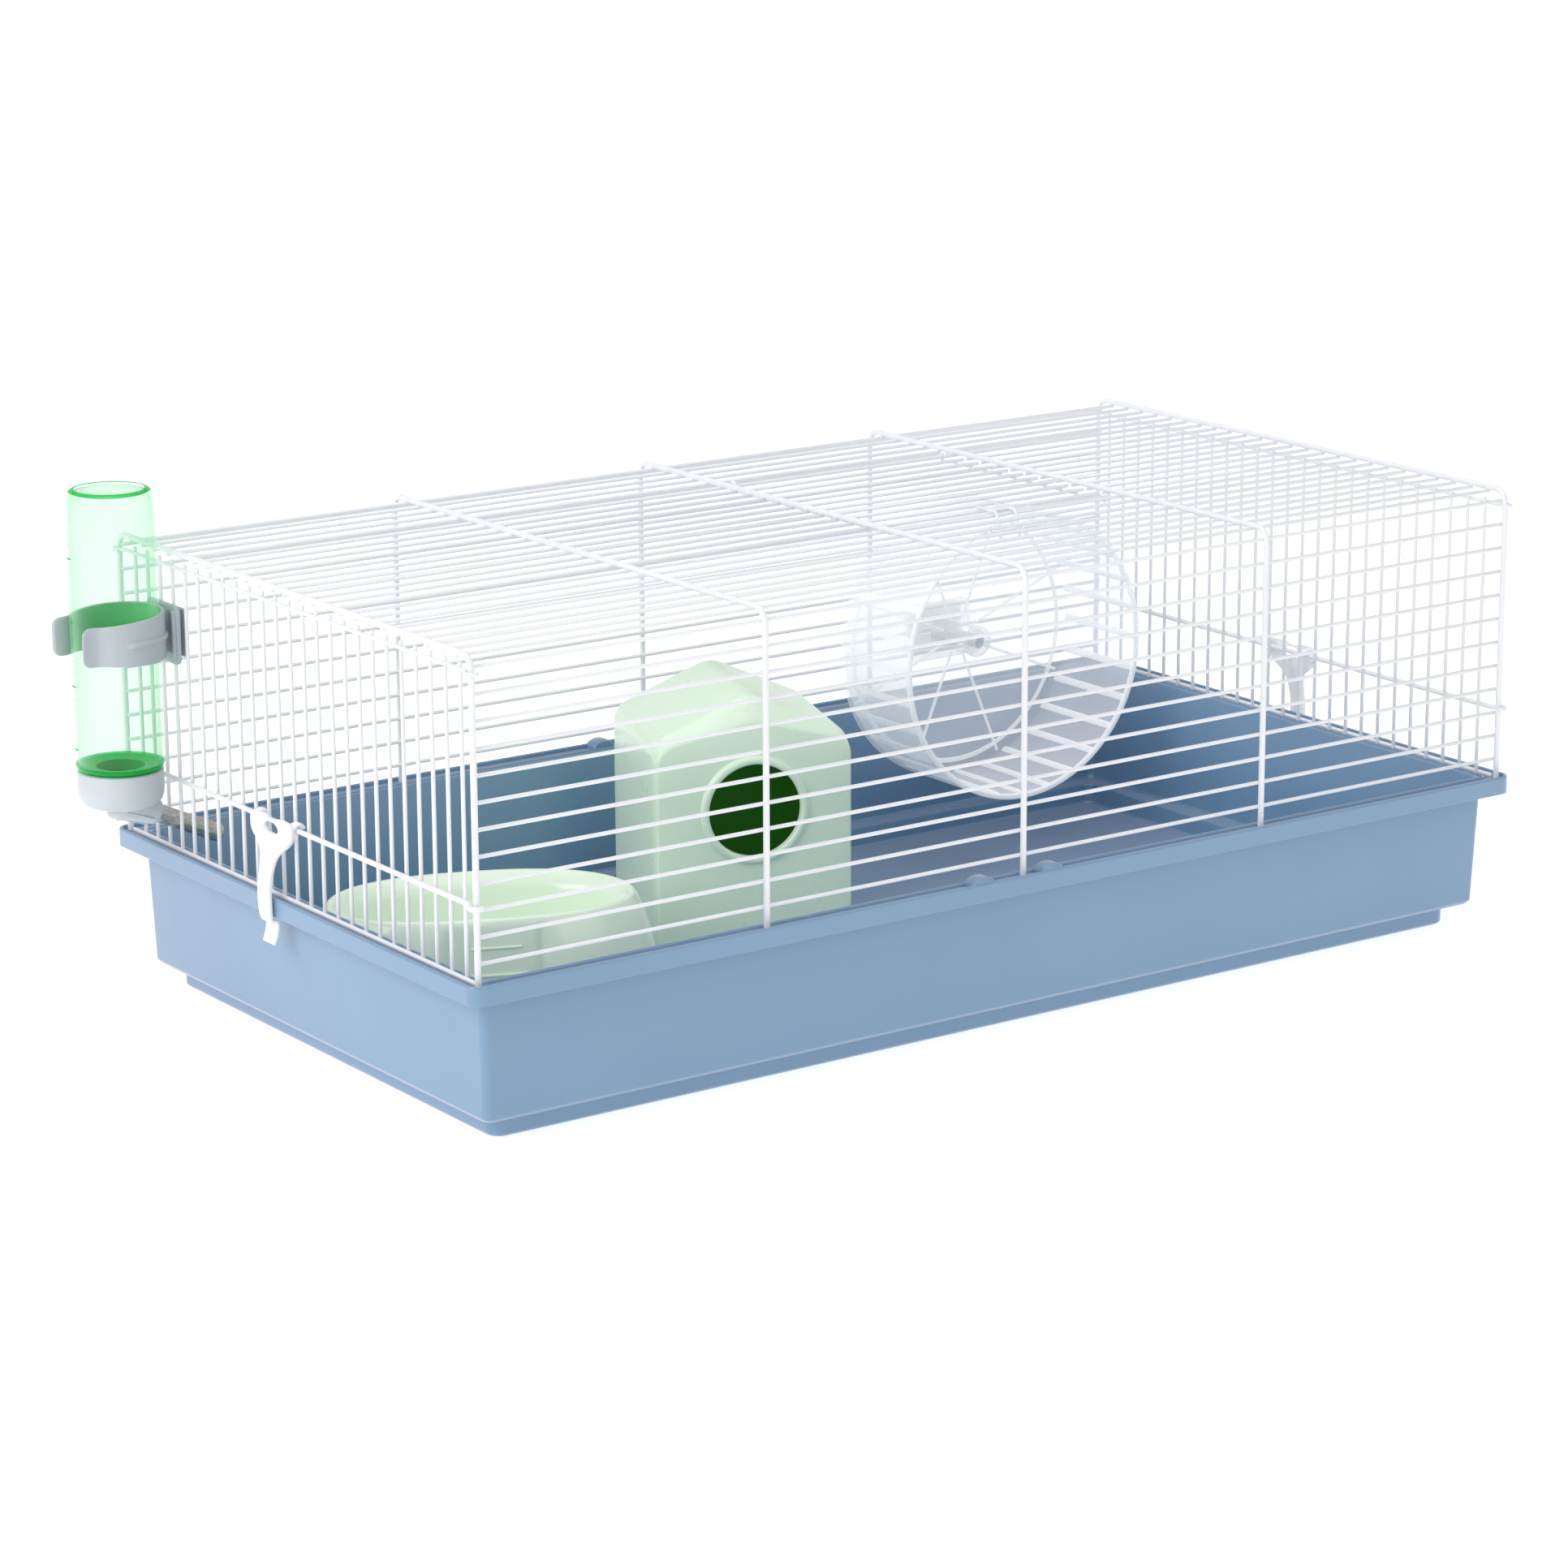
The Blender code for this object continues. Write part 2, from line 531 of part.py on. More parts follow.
def wheel_ring(y, r, rib=0.0):
    pts = []
    for i in range(NW):
        t = 2 * math.pi * (i - 1) / NW
        q = r - (rib if i % 3 == 1 else 0.0)
        pts.append((WHEEL_X + q * math.cos(t), y, WHEEL_Z + q * math.sin(t)))
    return pts


Y0, Y1 = WHEEL_Y0, WHEEL_Y1
wheel = solid("wheel_drum", Mesh().rings([
    wheel_ring(Y1, 3.4), wheel_ring(Y1, 7.0), wheel_ring(Y1, WHEEL_R - 1.0),
    wheel_ring(Y1 - 1.0, WHEEL_R), wheel_ring(Y0, WHEEL_R),
    wheel_ring(Y0, WHEEL_R - 2.6), wheel_ring(Y0 + 3.0, WHEEL_R - 2.6, 1.6),
    wheel_ring(Y1 - 1.6, WHEEL_R - 2.2, 1.6), wheel_ring(Y1 - 1.6, 9.0),
    wheel_ring(Y1 - 16.0, 7.0), wheel_ring(Y1 - 16.0, 3.4)], closed=True), CLEAR)

BRY = LEG_Y - WALL_IN
axle = Mesh().cylinder((WHEEL_X, Y1 - 21.0, WHEEL_Z), (WHEEL_X, BRY - 4.2, WHEEL_Z), 3.0, 3.0, 16)
solid("wheel_axle", axle, STEEL)
knob_prof = [(3.25, Y1 - 21.8), (6.4, Y1 - 21.8), (8.0, Y1 - 20.4), (8.0, Y1 - 17.2),
             (3.25, Y1 - 17.2)]
rings = []
for k in range(18):
    t = 2 * math.pi * k / 18
    rings.append([(WHEEL_X + r * math.cos(t), y, WHEEL_Z + r * math.sin(t))
                  for r, y in knob_prof])
solid("wheel_cap", Mesh().rings(rings, closed=True), CAPG)
spacer_prof = [(3.25, Y1 + 0.7), (6.4, Y1 + 0.7), (6.4, BRY - 4.4), (3.25, BRY - 4.4)]
rings = []
for k in range(18):
    t = 2 * math.pi * k / 18
    rings.append([(WHEEL_X + r * math.cos(t), y, WHEEL_Z + r * math.sin(t))
                  for r, y in spacer_prof])
solid("wheel_spacer", Mesh().rings(rings, closed=True), CAPG)

br = solid("wheel_bracket", Mesh().box(WHEEL_X - 20.0, WHEEL_X + 20.0, BRY - 4.0, BRY - 1.3,
                                       WHEEL_Z - 15.0, WHEEL_Z + 15.0), CAPG)
# webs pass between the wall wires to a jaw plate outside
zw = [WALL_Z0 + k * PITCH_Z for k in range(WALL_N)]
below = max(z for z in zw if z < WHEEL_Z + 2.0)
webs = Mesh()
webs.box(WHEEL_X - 15.0, WHEEL_X + 15.0, BRY - 2.2, BRY + 2.2, below - PITCH_Z + 2.0, below - 2.0)
webs.box(WHEEL_X - 15.0, WHEEL_X + 15.0, BRY - 2.2, BRY + 2.2, below + 2.0, below + PITCH_Z - 2.0)
boolean(br, tool("bracket_webs", webs), "UNION")
boolean(br, tool("bracket_jaw", Mesh().box(WHEEL_X - 18.0, WHEEL_X + 18.0, BRY + 1.3, BRY + 3.3,
                                           WHEEL_Z - 12.0, WHEEL_Z + 13.0)), "UNION")


# -------------------------------------------------------------------- house
def place(pts, cx, cy, turn):
    c, s = math.cos(turn), math.sin(turn)
    return [(cx + c * x - s * y, cy + s * x + c * y, z) for x, y, z in pts]


def gable(w, eave, apex, z0, soft):
    """Closed outline in X/Z with softened eaves and ridge."""
    h = w / 2
    sl = (apex - eave) / h
    L = math.hypot(h, apex - eave)
    dx, dz = h / L, (apex - eave) / L
    return [(-h, z0), (h, z0), (h, eave - soft), (h - 0.3 * soft, eave - 0.25 * soft),
            (h - soft * dx, eave + soft * dz), (soft * dx, apex - soft * dz),
            (0.0, apex - 0.45 * soft * dz), (-soft * dx, apex - soft * dz),
            (-h + soft * dx, eave + soft * dz), (-h + 0.3 * soft, eave - 0.25 * soft),
            (-h, eave - soft)]


HZ = FLOOR_Z + GAP


def house_rings(rows, z0, soft):
    """Gable outlines front to back: y, side inset, eave drop, ridge drop."""
    out = []
    for y, side, eave, ridge in rows:
        g = gable(HOUSE_W - 2 * side, HZ + HOUSE_EAVE - eave, HZ + HOUSE_APEX - ridge, z0, soft)
        out.append(place([(x, y, z) for x, z in g], HOUSE_X, HOUSE_Y, HOUSE_TURN))
    return out


HD = HOUSE_D / 2
house = solid("house", Mesh().rings(house_rings(
    ((-HD, 1.6, 3.0, 12.4), (-HD + 1.2, 0.4, 1.6, 10.4), (-HD + 8.5, 0.0, 0.0, 0.0),
     (HD - 4.2, 0.0, 0.0, 0.0), (HD - 1.2, 1.4, 1.0, 1.4), (HD, 4.0, 2.8, 4.0)), HZ, 9.0)), MINT)
T = 2.0
boolean(house, tool("house_inside", Mesh().rings(house_rings(
    ((-HD + T, 3.4, 5.4, 14.6), (-HD + T + 1.2, T + 0.4, 4.0, 12.8), (-HD + T + 7.8, T, 2.2, 2.6),
     (HD - T - 3.4, T, 2.2, 2.4), (HD - T, 4.4, 3.4, 4.6)), HZ - 5.0, 8.2))), "DIFFERENCE")
DOORWAY_Z, DOORWAY_R = HZ + 67.5, 22.5


def disc(y0, y1, r0, r1, n=24):
    out = []
    for y, r in ((y0, r0), (y1, r1)):
        out.append(place([(r * math.cos(2 * math.pi * i / n), y,
                           DOORWAY_Z + r * math.sin(2 * math.pi * i / n)) for i in range(n)],
                         HOUSE_X, HOUSE_Y, HOUSE_TURN))
    return out


collar = Mesh().rings(disc(-HD - 2.2, -HD + 1.0, DOORWAY_R + 2.8, DOORWAY_R + 4.2))
boolean(house, tool("doorway_collar", collar), "UNION")
boolean(house, tool("doorway", Mesh().rings(disc(-HD - 6.0, -HD + 9.0,
                                                 DOORWAY_R, DOORWAY_R))), "DIFFERENCE")

# --------------------------------------------------------------------- bowl
NBW = 48


def bowl_outline(grow, lobe, z):
    pts = []
    for i in range(NBW):
        t = 2 * math.pi * (i + 0.5) / NBW
        c, s = math.cos(t), math.sin(t)
        x = 71.0 * math.copysign(abs(c) ** 0.80, c)
        y = 41.5 * math.copysign(abs(s) ** 0.80, s)
        x *= 1.0 - 0.10 * max(0.0, y / 41.5)
        # flat front and back panels between bulging corner lobes
        bulge = lobe * (0.5 - 0.5 * math.cos(math.pi * min(1.0, max(0.0, (abs(x) - 19.0) / 12.0))))
        d = Vector((x / 71.0, y / 41.5)).normalized()
        pts.append((x + (grow + bulge) * d.x, y + (grow + bulge) * d.y, z))
    return place(pts, BOWL_X, BOWL_Y, BOWL_TURN)


B0 = FLOOR_Z + GAP
solid("food_bowl", Mesh().rings([
    bowl_outline(4.5, 4.5, B0), bowl_outline(6.5, 5.0, B0 + 3.0),
    bowl_outline(5.0, 4.5, B0 + 18.0), bowl_outline(1.6, 2.0, B0 + 44.0),
    bowl_outline(0.0, 0.4, B0 + 50.4), bowl_outline(-1.8, 0.0, B0 + BOWL_H),
    bowl_outline(-3.2, 0.0, B0 + BOWL_H), bowl_outline(-8.8, 0.0, B0 + 46.6),
    bowl_outline(-10.4, 0.0, B0 + 42.0), bowl_outline(-13.6, 0.0, B0 + 20.0),
    bowl_outline(-19.0, 0.0, B0 + 14.0)]), MINT_B)
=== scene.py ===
"""Hamster cage: the looks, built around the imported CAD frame."""
import json
import math

import bmesh
import bpy
from mathutils import Matrix, Vector

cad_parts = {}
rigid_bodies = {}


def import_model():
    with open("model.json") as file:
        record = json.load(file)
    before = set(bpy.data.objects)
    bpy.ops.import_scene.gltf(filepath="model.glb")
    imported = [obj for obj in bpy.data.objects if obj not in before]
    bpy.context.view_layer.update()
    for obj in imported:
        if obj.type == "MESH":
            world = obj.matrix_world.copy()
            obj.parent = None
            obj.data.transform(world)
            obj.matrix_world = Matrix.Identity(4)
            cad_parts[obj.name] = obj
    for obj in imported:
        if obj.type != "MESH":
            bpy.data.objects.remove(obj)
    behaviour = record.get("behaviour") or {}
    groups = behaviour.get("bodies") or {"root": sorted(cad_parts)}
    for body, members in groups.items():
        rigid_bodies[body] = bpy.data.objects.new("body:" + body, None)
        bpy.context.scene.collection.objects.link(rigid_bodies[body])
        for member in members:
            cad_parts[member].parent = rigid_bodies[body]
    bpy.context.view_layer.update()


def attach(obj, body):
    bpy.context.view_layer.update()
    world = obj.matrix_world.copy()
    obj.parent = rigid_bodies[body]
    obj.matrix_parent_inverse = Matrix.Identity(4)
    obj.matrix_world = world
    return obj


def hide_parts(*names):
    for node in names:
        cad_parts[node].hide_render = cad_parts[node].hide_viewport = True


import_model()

MM = 0.001
RAD = math.radians

# ------------------------------------------------------------- dimensions, mm
LEG_X, LEG_Y = 285.2, 151.5
RIM_Z = 74.9
ROOF_Z = RIM_Z + 137.7
HOOP_R, WIRE_R, MID_R = 1.4, 0.9, 1.2
BITE = 0.4
HOOPS_X = (-285.2, -140.4, -1.5, 137.2, 285.2)
PITCH_Z, WALL_Z0, WALL_N = 11.4, RIM_Z + 7.3, 12
PITCH_Y = 2.0 * LEG_Y / 26.0
WALL_IN = HOOP_R + WIRE_R - BITE
ROOF_WZ = ROOF_Z - WALL_IN
EDGE_K, HINGE_K = 9, 20
EDGE_Y = -LEG_Y + EDGE_K * PITCH_Y
HINGE_Y = -LEG_Y + HINGE_K * PITCH_Y
DOOR_X0, DOOR_X1 = 1.9, 133.9
DOOR_SIDE = (5.1, 130.7)
MID_Z, TOP_Z, LOW_Z, LEDGE_Z = RIM_Z + 32.2, RIM_Z + 130.6, RIM_Z - 0.8, RIM_Z - 2.3
LATCH_X = 67.6

BOTTLE_X, BOTTLE_Y = -310.0, 9.5 * PITCH_Y
BOT_Z = RIM_Z - 1.2
BOTTLE_Z0, BOTTLE_Z1 = BOT_Z + 29.3, BOT_Z + 169.0
CAP_Z0, CAP_Z1 = BOT_Z + 24.4, BOT_Z + 41.2
TUBE_SLOPE = RAD(25.2)
TD = Vector((math.cos(TUBE_SLOPE), 0.0, -math.sin(TUBE_SLOPE)))
TIP = Vector((-260.5, BOTTLE_Y, RIM_Z + 1.5))
HZ0, HZ1 = BOT_Z + 91.5, BOT_Z + 113.5

WHEEL_X, WHEEL_Z = 177.3, RIM_Z + 30.3
WHEEL_Y0, WHEEL_Y1 = 73.5, 133.0
WHEEL_R, WHEEL_RIBS = 73.0, 28

HOUSE_X, HOUSE_Y, HOUSE_TURN = -11.7, 61.1, RAD(-20.0)
HOUSE_W, HOUSE_D, HOUSE_EAVE, HOUSE_APEX = 95.4, 88.0, 101.0, 122.2
FLOOR_Z, GAP = 2.0, 0.3
BOWL_X, BOWL_Y, BOWL_TURN, BOWL_H = -178.2, 20.5, RAD(-22.0), 52.0


# ------------------------------------------------------------------ geometry
class Geo:
    """Vertices and faces of one piece, in millimetres."""

    def __init__(self):
        self.v, self.f, self.m = [], [], []
        self.slot = 0

    def put(self, verts, faces):
        n = len(self.v)
        self.v += [tuple(p) for p in verts]
        self.f += [tuple(i + n for i in q) for q in faces]
        self.m += [self.slot] * len(faces)
        return self

    def rings(self, rings, closed=False, caps=True):
        n = len(rings[0])
        faces = []
        last = len(rings) if closed else len(rings) - 1
        for k in range(last):
            a, b = k * n, ((k + 1) % len(rings)) * n
            for i in range(n):
                j = (i + 1) % n
                faces.append((a + i, a + j, b + j, b + i))
        if not closed and caps:
            faces.append(tuple(reversed(range(n))))
            e = (len(rings) - 1) * n
            faces.append(tuple(e + i for i in range(n)))
        return self.put([p for r in rings for p in r], faces)

    def tube(self, pts, r, n=10, dome=True):
        """Round wire along a path; r may be one radius or one per point."""
        pts = [Vector(p) for p in pts]
        rs = list(r) if isinstance(r, (list, tuple)) else [r] * len(pts)
        tang = []
        for i in range(len(pts)):
            a, b = pts[max(0, i - 1)], pts[min(len(pts) - 1, i + 1)]
            tang.append((b - a).normalized())
        u = tang[0].orthogonal().normalized()
        rings = []
        prev = tang[0]
        for i, p in enumerate(pts):
            t = tang[i]
            ax = prev.cross(t)
            if ax.length > 1e-9:
                u = Matrix.Rotation(prev.angle(t), 3, ax) @ u
            u = (u - t * u.dot(t)).normalized()
            w = t.cross(u)
            ring = lambda q, s: [q + (u * math.cos(2 * math.pi * k / n) +
                                      w * math.sin(2 * math.pi * k / n)) * s
                                 for k in range(n)]
            if i == 0 and dome:
                rings.append(ring(p - t * rs[i] * 0.45, rs[i] * 0.55))
            rings.append(ring(p, rs[i]))
            if i == len(pts) - 1 and dome:
                rings.append(ring(p + t * rs[i] * 0.45, rs[i] * 0.55))
            prev = t
        return self.rings(rings)

    def lathe(self, prof, origin, axis, n=48, closed=True, a0=0.0, a1=360.0):
        """Turn (radius, along) points about an axis."""
        o, d = Vector(origin), Vector(axis).normalized()
        u = Vector((1, 0, 0)) if abs(d.x) < 0.9 else Vector((0, 1, 0))
        u = (u - d * u.dot(d)).normalized()
        w = d.cross(u)
        full = abs(a1 - a0) > 359.9
        rings = []
        for k in range(n if full else n + 1):
            t = RAD(a0 + (a1 - a0) * k / n)
            rad = u * math.cos(t) + w * math.sin(t)
            rings.append([o + rad * r + d * h for r, h in prof])
        if closed:
            return self.rings(rings, closed=full)
        # open profile whose ends lie on the axis
        m = len(prof)
        faces = []
        for k in range(n):
            a, b = k * m, ((k + 1) % n) * m
            for i in range(m - 1):
                faces.append((a + i, a + i + 1, b + i + 1, b + i))
        return self.put([p for r in rings for p in r], faces)

    def slab(self, outline, axis, h0, h1, soft=0.5, steps=3):
        """Flat plate from a 2-D outline, its edges rounded over."""
        def shrink(d):
            n = len(outline)
            out = []
            for i in range(n):
                p0, p1, p2 = (Vector(outline[i - 1]), Vector(outline[i]),
                              Vector(outline[(i + 1) % n]))
                e0, e1 = (p1 - p0), (p2 - p1)
                e0 = e0.normalized() if e0.length > 1e-9 else e1.normalized()
                e1 = e1.normalized() if e1.length > 1e-9 else e0
                nn = Vector((-(e0.y + e1.y), e0.x + e1.x))
                nn = nn.normalized() if nn.length > 1e-9 else Vector((-e0.y, e0.x))
                k = 1.0 / max(0.5, nn.dot(Vector((-e0.y, e0.x))))
                out.append(p1 + nn * d * k)
            return out
        area = sum(outline[i - 1][0] * outline[i][1] - outline[i][0] * outline[i - 1][1]
                   for i in range(len(outline)))
        if area < 0:
            outline = outline[::-1]
        levels = []
        for k in range(steps + 1):
            t = RAD(90.0 * k / steps)
            levels.append((h0 + soft * (1 - math.sin(t)), soft * (1 - math.cos(t))))
        levels = [(h0 + soft * (1 - math.cos(RAD(90.0 * k / steps))),
                   soft * (1 - math.sin(RAD(90.0 * k / steps)))) for k in range(steps + 1)]
        levels += [(h1 - soft * (1 - math.cos(RAD(90.0 * k / steps))),
                    soft * (1 - math.sin(RAD(90.0 * k / steps))))
                   for k in range(steps, -1, -1)]
        rings = []
        for h, ins in levels:
            pts = shrink(ins)
            rings.append([{"X": (h, p.x, p.y), "Y": (p.x, h, p.y),
                           "Z": (p.x, p.y, h)}[axis] for p in pts])
        return self.rings(rings)


def fillet(pts, r, seg=6):
    """Round the corners of a path."""
    pts = [Vector(p) for p in pts]
    rs = r if isinstance(r, (list, tuple)) else [r] * len(pts)
    out = [pts[0]]
    for i in range(1, len(pts) - 1):
        a, b, c = pts[i - 1], pts[i], pts[i + 1]
        d0, d1 = (a - b).normalized(), (c - b).normalized()
        ang = d0.angle(d1)
        if ang > math.pi - 0.02 or rs[i] <= 0:
            out.append(b)
            continue
        t = min(rs[i] / math.tan(ang / 2), 0.49 * (a - b).length, 0.49 * (c - b).length)
        rr = t * math.tan(ang / 2)
        centre = b + (d0 + d1).normalized() * (rr / math.sin(ang / 2))
        p0, p1 = b + d0 * t, b + d1 * t
        v0, v1 = p0 - centre, p1 - centre
        tot = v0.angle(v1)
        ax = v0.cross(v1).normalized()
        for k in range(seg + 1):
            out.append(centre + Matrix.Rotation(tot * k / seg, 3, ax) @ v0)
    out.append(pts[-1])
    return out


def arc(centre, r, a0, a1, plane, n=16):
    out = []
    for k in range(n + 1):
        t = RAD(a0 + (a1 - a0) * k / n)
        c, s = r * math.cos(t), r * math.sin(t)
        d = {"XY": (c, s, 0), "YZ": (0, c, s), "XZ": (c, 0, s)}[plane]
        out.append(Vector(centre) + Vector(d))
    return out


def spline(vals, n):
    """Catmull-Rom through rows of numbers, n steps per span."""
    out = []
    m = len(vals)
    for i in range(m - 1):
        p0, p1, p2, p3 = (vals[max(0, i - 1)], vals[i], vals[i + 1],
                          vals[min(m - 1, i + 2)])
        for k in range(n):
            t = k / n
            out.append(tuple(0.5 * (2 * b + (c - a) * t + (2 * a - 5 * b + 4 * c - d) * t * t +
                                    (3 * b - a - 3 * c + d) * t ** 3)
                             for a, b, c, d in zip(p0, p1, p2, p3)))
    out.append(tuple(vals[-1]))
    return out


def round_rect(hx, hy, r, z, n=10):
    pts = []
    for cx, cy, a in ((hx - r, hy - r, 0), (-hx + r, hy - r, 90),
                      (-hx + r, -hy + r, 180), (hx - r, -hy + r, 270)):
        for k in range(n + 1):
            t = RAD(a + 90.0 * k / n)
            pts.append((cx + r * math.cos(t), cy + r * math.sin(t), z))
    return pts


def plate2d(hw, hh, r, n=6, cx=0.0, cy=0.0):
    return [(x + cx, y + cy) for x, y, _ in round_rect(hw, hh, r, 0.0, n)]


def place(pts, cx, cy, turn):
    c, s = math.cos(turn), math.sin(turn)
    return [(cx + c * x - s * y, cy + s * x + c * y, z) for x, y, z in pts]


def make(name, geo, mats, body, nodes=(), sharp=35.0, bevel=0.0, segs=2):
    me = bpy.data.meshes.new(name)
    me.from_pydata([(x * MM, y * MM, z * MM) for x, y, z in geo.v], [], geo.f)
    mats = mats if isinstance(mats, (list, tuple)) else [mats]
    for mat in mats:
        me.materials.append(mat)
    me.polygons.foreach_set("material_index", geo.m)
    bm = bmesh.new()
    bm.from_mesh(me)
    bmesh.ops.remove_doubles(bm, verts=bm.verts, dist=2e-7)
    bmesh.ops.dissolve_degenerate(bm, edges=bm.edges, dist=1e-7)
    bmesh.ops.recalc_face_normals(bm, faces=bm.faces)
    bm.to_mesh(me)
    bm.free()
    me.shade_smooth()
    me.set_sharp_from_angle(angle=RAD(sharp))
    ob = bpy.data.objects.new(name, me)
    bpy.context.scene.collection.objects.link(ob)
    if bevel:
        b = ob.modifiers.new("edge", "BEVEL")
        b.width = bevel * MM
        b.segments = segs
        b.limit_method = "ANGLE"
        b.angle_limit = RAD(32.0)
        b.use_clamp_overlap = True
    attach(ob, body)
    if nodes:
        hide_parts(*nodes)
    return ob


# ----------------------------------------------------------------- materials
def nodes_of(name):
    mat = bpy.data.materials.new(name)
    mat.use_nodes = True
    nt = mat.node_tree
    bsdf = nt.nodes["Principled BSDF"]
    tc = nt.nodes.new("ShaderNodeTexCoord")
    return mat, nt, bsdf, tc


def noise(nt, tc, scale, detail=3.0, rough=0.55):
    n = nt.nodes.new("ShaderNodeTexNoise")
    n.inputs["Scale"].default_value = scale
    n.inputs["Detail"].default_value = detail
    n.inputs["Roughness"].default_value = rough
    nt.links.new(tc.outputs["Object"], n.inputs["Vector"])
    return n


def ranged(nt, src, lo, hi, f0=0.3, f1=0.7):
    r = nt.nodes.new("ShaderNodeMapRange")
    r.inputs["From Min"].default_value = f0
    r.inputs["From Max"].default_value = f1
    r.inputs["To Min"].default_value = lo
    r.inputs["To Max"].default_value = hi
    nt.links.new(src, r.inputs["Value"])
    return r.outputs["Result"]


def mixed(nt, fac, a, b):
    m = nt.nodes.new("ShaderNodeMix")
    m.data_type = "RGBA"
    nt.links.new(fac, m.inputs["Factor"])
    m.inputs["A"].default_value = (*a, 1.0)
    m.inputs["B"].default_value = (*b, 1.0)
    return m.outputs["Result"]


def plastic(name, rgb, rough, vary=0.04, rough_vary=0.05, grain=900.0, bump=0.02,
            grain_mm=0.02, cloud=14.0, tint=(1.0, 1.0, 1.0), spec=0.5, sss=0.0):
    """Moulded plastic: faint flow clouding, uneven gloss and a fine mould grain."""
    mat, nt, b, tc = nodes_of(name)
    lo = tuple(c * (1 - vary) for c in rgb)
    hi = tuple(min(1.0, c * (1 + vary) * t) for c, t in zip(rgb, tint))
    big = noise(nt, tc, cloud, 4.0)
    nt.links.new(mixed(nt, ranged(nt, big.outputs["Fac"], 0.0, 1.0), lo, hi),
                 b.inputs["Base Color"])
    mid = noise(nt, tc, cloud * 5.0, 3.0)
    nt.links.new(ranged(nt, mid.outputs["Fac"], rough - rough_vary, rough + rough_vary),
                 b.inputs["Roughness"])
    if bump:
        fine = noise(nt, tc, grain, 2.0, 0.5)
        bp = nt.nodes.new("ShaderNodeBump")
        bp.inputs["Strength"].default_value = bump * 10.0
        bp.inputs["Distance"].default_value = grain_mm * MM
        nt.links.new(fine.outputs["Fac"], bp.inputs["Height"])
        nt.links.new(bp.outputs["Normal"], b.inputs["Normal"])
    b.inputs["Specular IOR Level"].default_value = spec
    if sss:
        b.inputs["Subsurface Weight"].default_value = sss
        b.inputs["Subsurface Radius"].default_value = (0.8, 1.0, 0.8)
        b.inputs["Subsurface Scale"].default_value = 0.004
    return mat, nt, b, tc


def clear(name, rgb, rough, face, edge, power=1.6, wave=30.0):
    """Thin clear plastic: see-through face on, milky where it is seen edge on."""
    mat, nt, b, tc = nodes_of(name)
    big = noise(nt, tc, wave, 3.0)
    nt.links.new(mixed(nt, ranged(nt, big.outputs["Fac"], 0.0, 1.0),
                       tuple(c * 0.96 for c in rgb), rgb), b.inputs["Base Color"])
    nt.links.new(ranged(nt, big.outputs["Fac"], rough * 0.7, rough * 1.4),
                 b.inputs["Roughness"])
    lw = nt.nodes.new("ShaderNodeLayerWeight")
    lw.inputs["Blend"].default_value = 0.5
    p = nt.nodes.new("ShaderNodeMath")
    p.operation = "POWER"
    nt.links.new(lw.outputs["Facing"], p.inputs[0])
    p.inputs[1].default_value = power
    nt.links.new(ranged(nt, p.outputs["Value"], face, edge, 0.0, 1.0), b.inputs["Alpha"])
    return mat


def tinted(name, see, rgb, rough, face, edge, power=1.5, wave=30.0, coat=0.0):
    """Clear coloured plastic: light passes tinted, edges turn solid and glossy."""
    mat, nt, b, tc = nodes_of(name)
    big = noise(nt, tc, wave, 3.0)
    nt.links.new(mixed(nt, ranged(nt, big.outputs["Fac"], 0.0, 1.0),
                       tuple(c * 0.93 for c in rgb), rgb), b.inputs["Base Color"])
    nt.links.new(ranged(nt, big.outputs["Fac"], rough * 0.7, rough * 1.4), b.inputs["Roughness"])
    b.inputs["Coat Weight"].default_value = coat
    tr = nt.nodes.new("ShaderNodeBsdfTransparent")
    tr.inputs["Color"].default_value = (*see, 1.0)
    lw = nt.nodes.new("ShaderNodeLayerWeight")
    lw.inputs["Blend"].default_value = 0.5
    p = nt.nodes.new("ShaderNodeMath")
    p.operation = "POWER"
    nt.links.new(lw.outputs["Facing"], p.inputs[0])
    p.inputs[1].default_value = power
    mx2 = nt.nodes.new("ShaderNodeMixShader")
    nt.links.new(ranged(nt, p.outputs["Value"], face, edge, 0.0, 1.0), mx2.inputs["Fac"])
    nt.links.new(tr.outputs["BSDF"], mx2.inputs[1])
    nt.links.new(b.outputs["BSDF"], mx2.inputs[2])
    nt.links.new(mx2.outputs["Shader"], nt.nodes["Material Output"].inputs["Surface"])
    return mat


def painted_glow(mat, rgb, k):
    """Painted light: a faint even emission that lifts the part's shade, so it glows though it is no lamp."""
    b = mat.node_tree.nodes["Principled BSDF"]
    b.inputs["Emission Color"].default_value = (*rgb, 1.0)
    b.inputs["Emission Strength"].default_value = k
    return mat


TRAY, nt, b, tc = plastic("tray_blue_plastic", (0.136, 0.272, 0.430), 0.33, 0.03, 0.05,
                          grain=1400.0, bump=0.03, grain_mm=0.03, cloud=9.0, spec=1.0)
b.inputs["Sheen Weight"].default_value = 0.58
b.inputs["Sheen Roughness"].default_value = 0.45
b.inputs["Sheen Tint"].default_value = (1.0, 0.80, 0.82, 1.0)
# painted light below: the emission added to the wire, clip, house, bowl, wheel and bracket materials lifts
# their shade and makes them glow, though none of them is a lamp
ENAMEL = painted_glow(plastic("white_enamel_wire", (0.62, 0.635, 0.665), 0.36, 0.02, 0.04,
                      grain=600.0, bump=0.0, grain_mm=0.03, cloud=40.0)[0], (0.97, 0.98, 1.0), 0.19)
CLIP = painted_glow(plastic("clip_white_plastic", (0.70, 0.71, 0.73), 0.45, 0.02, 0.05,
                    grain=1200.0, bump=0.02, cloud=30.0)[0], (0.97, 0.98, 1.0), 0.16)
GREY = plastic("holder_grey_plastic", (0.42, 0.47, 0.50), 0.45, 0.03, 0.05,
               grain=1200.0, bump=0.03, cloud=30.0)[0]
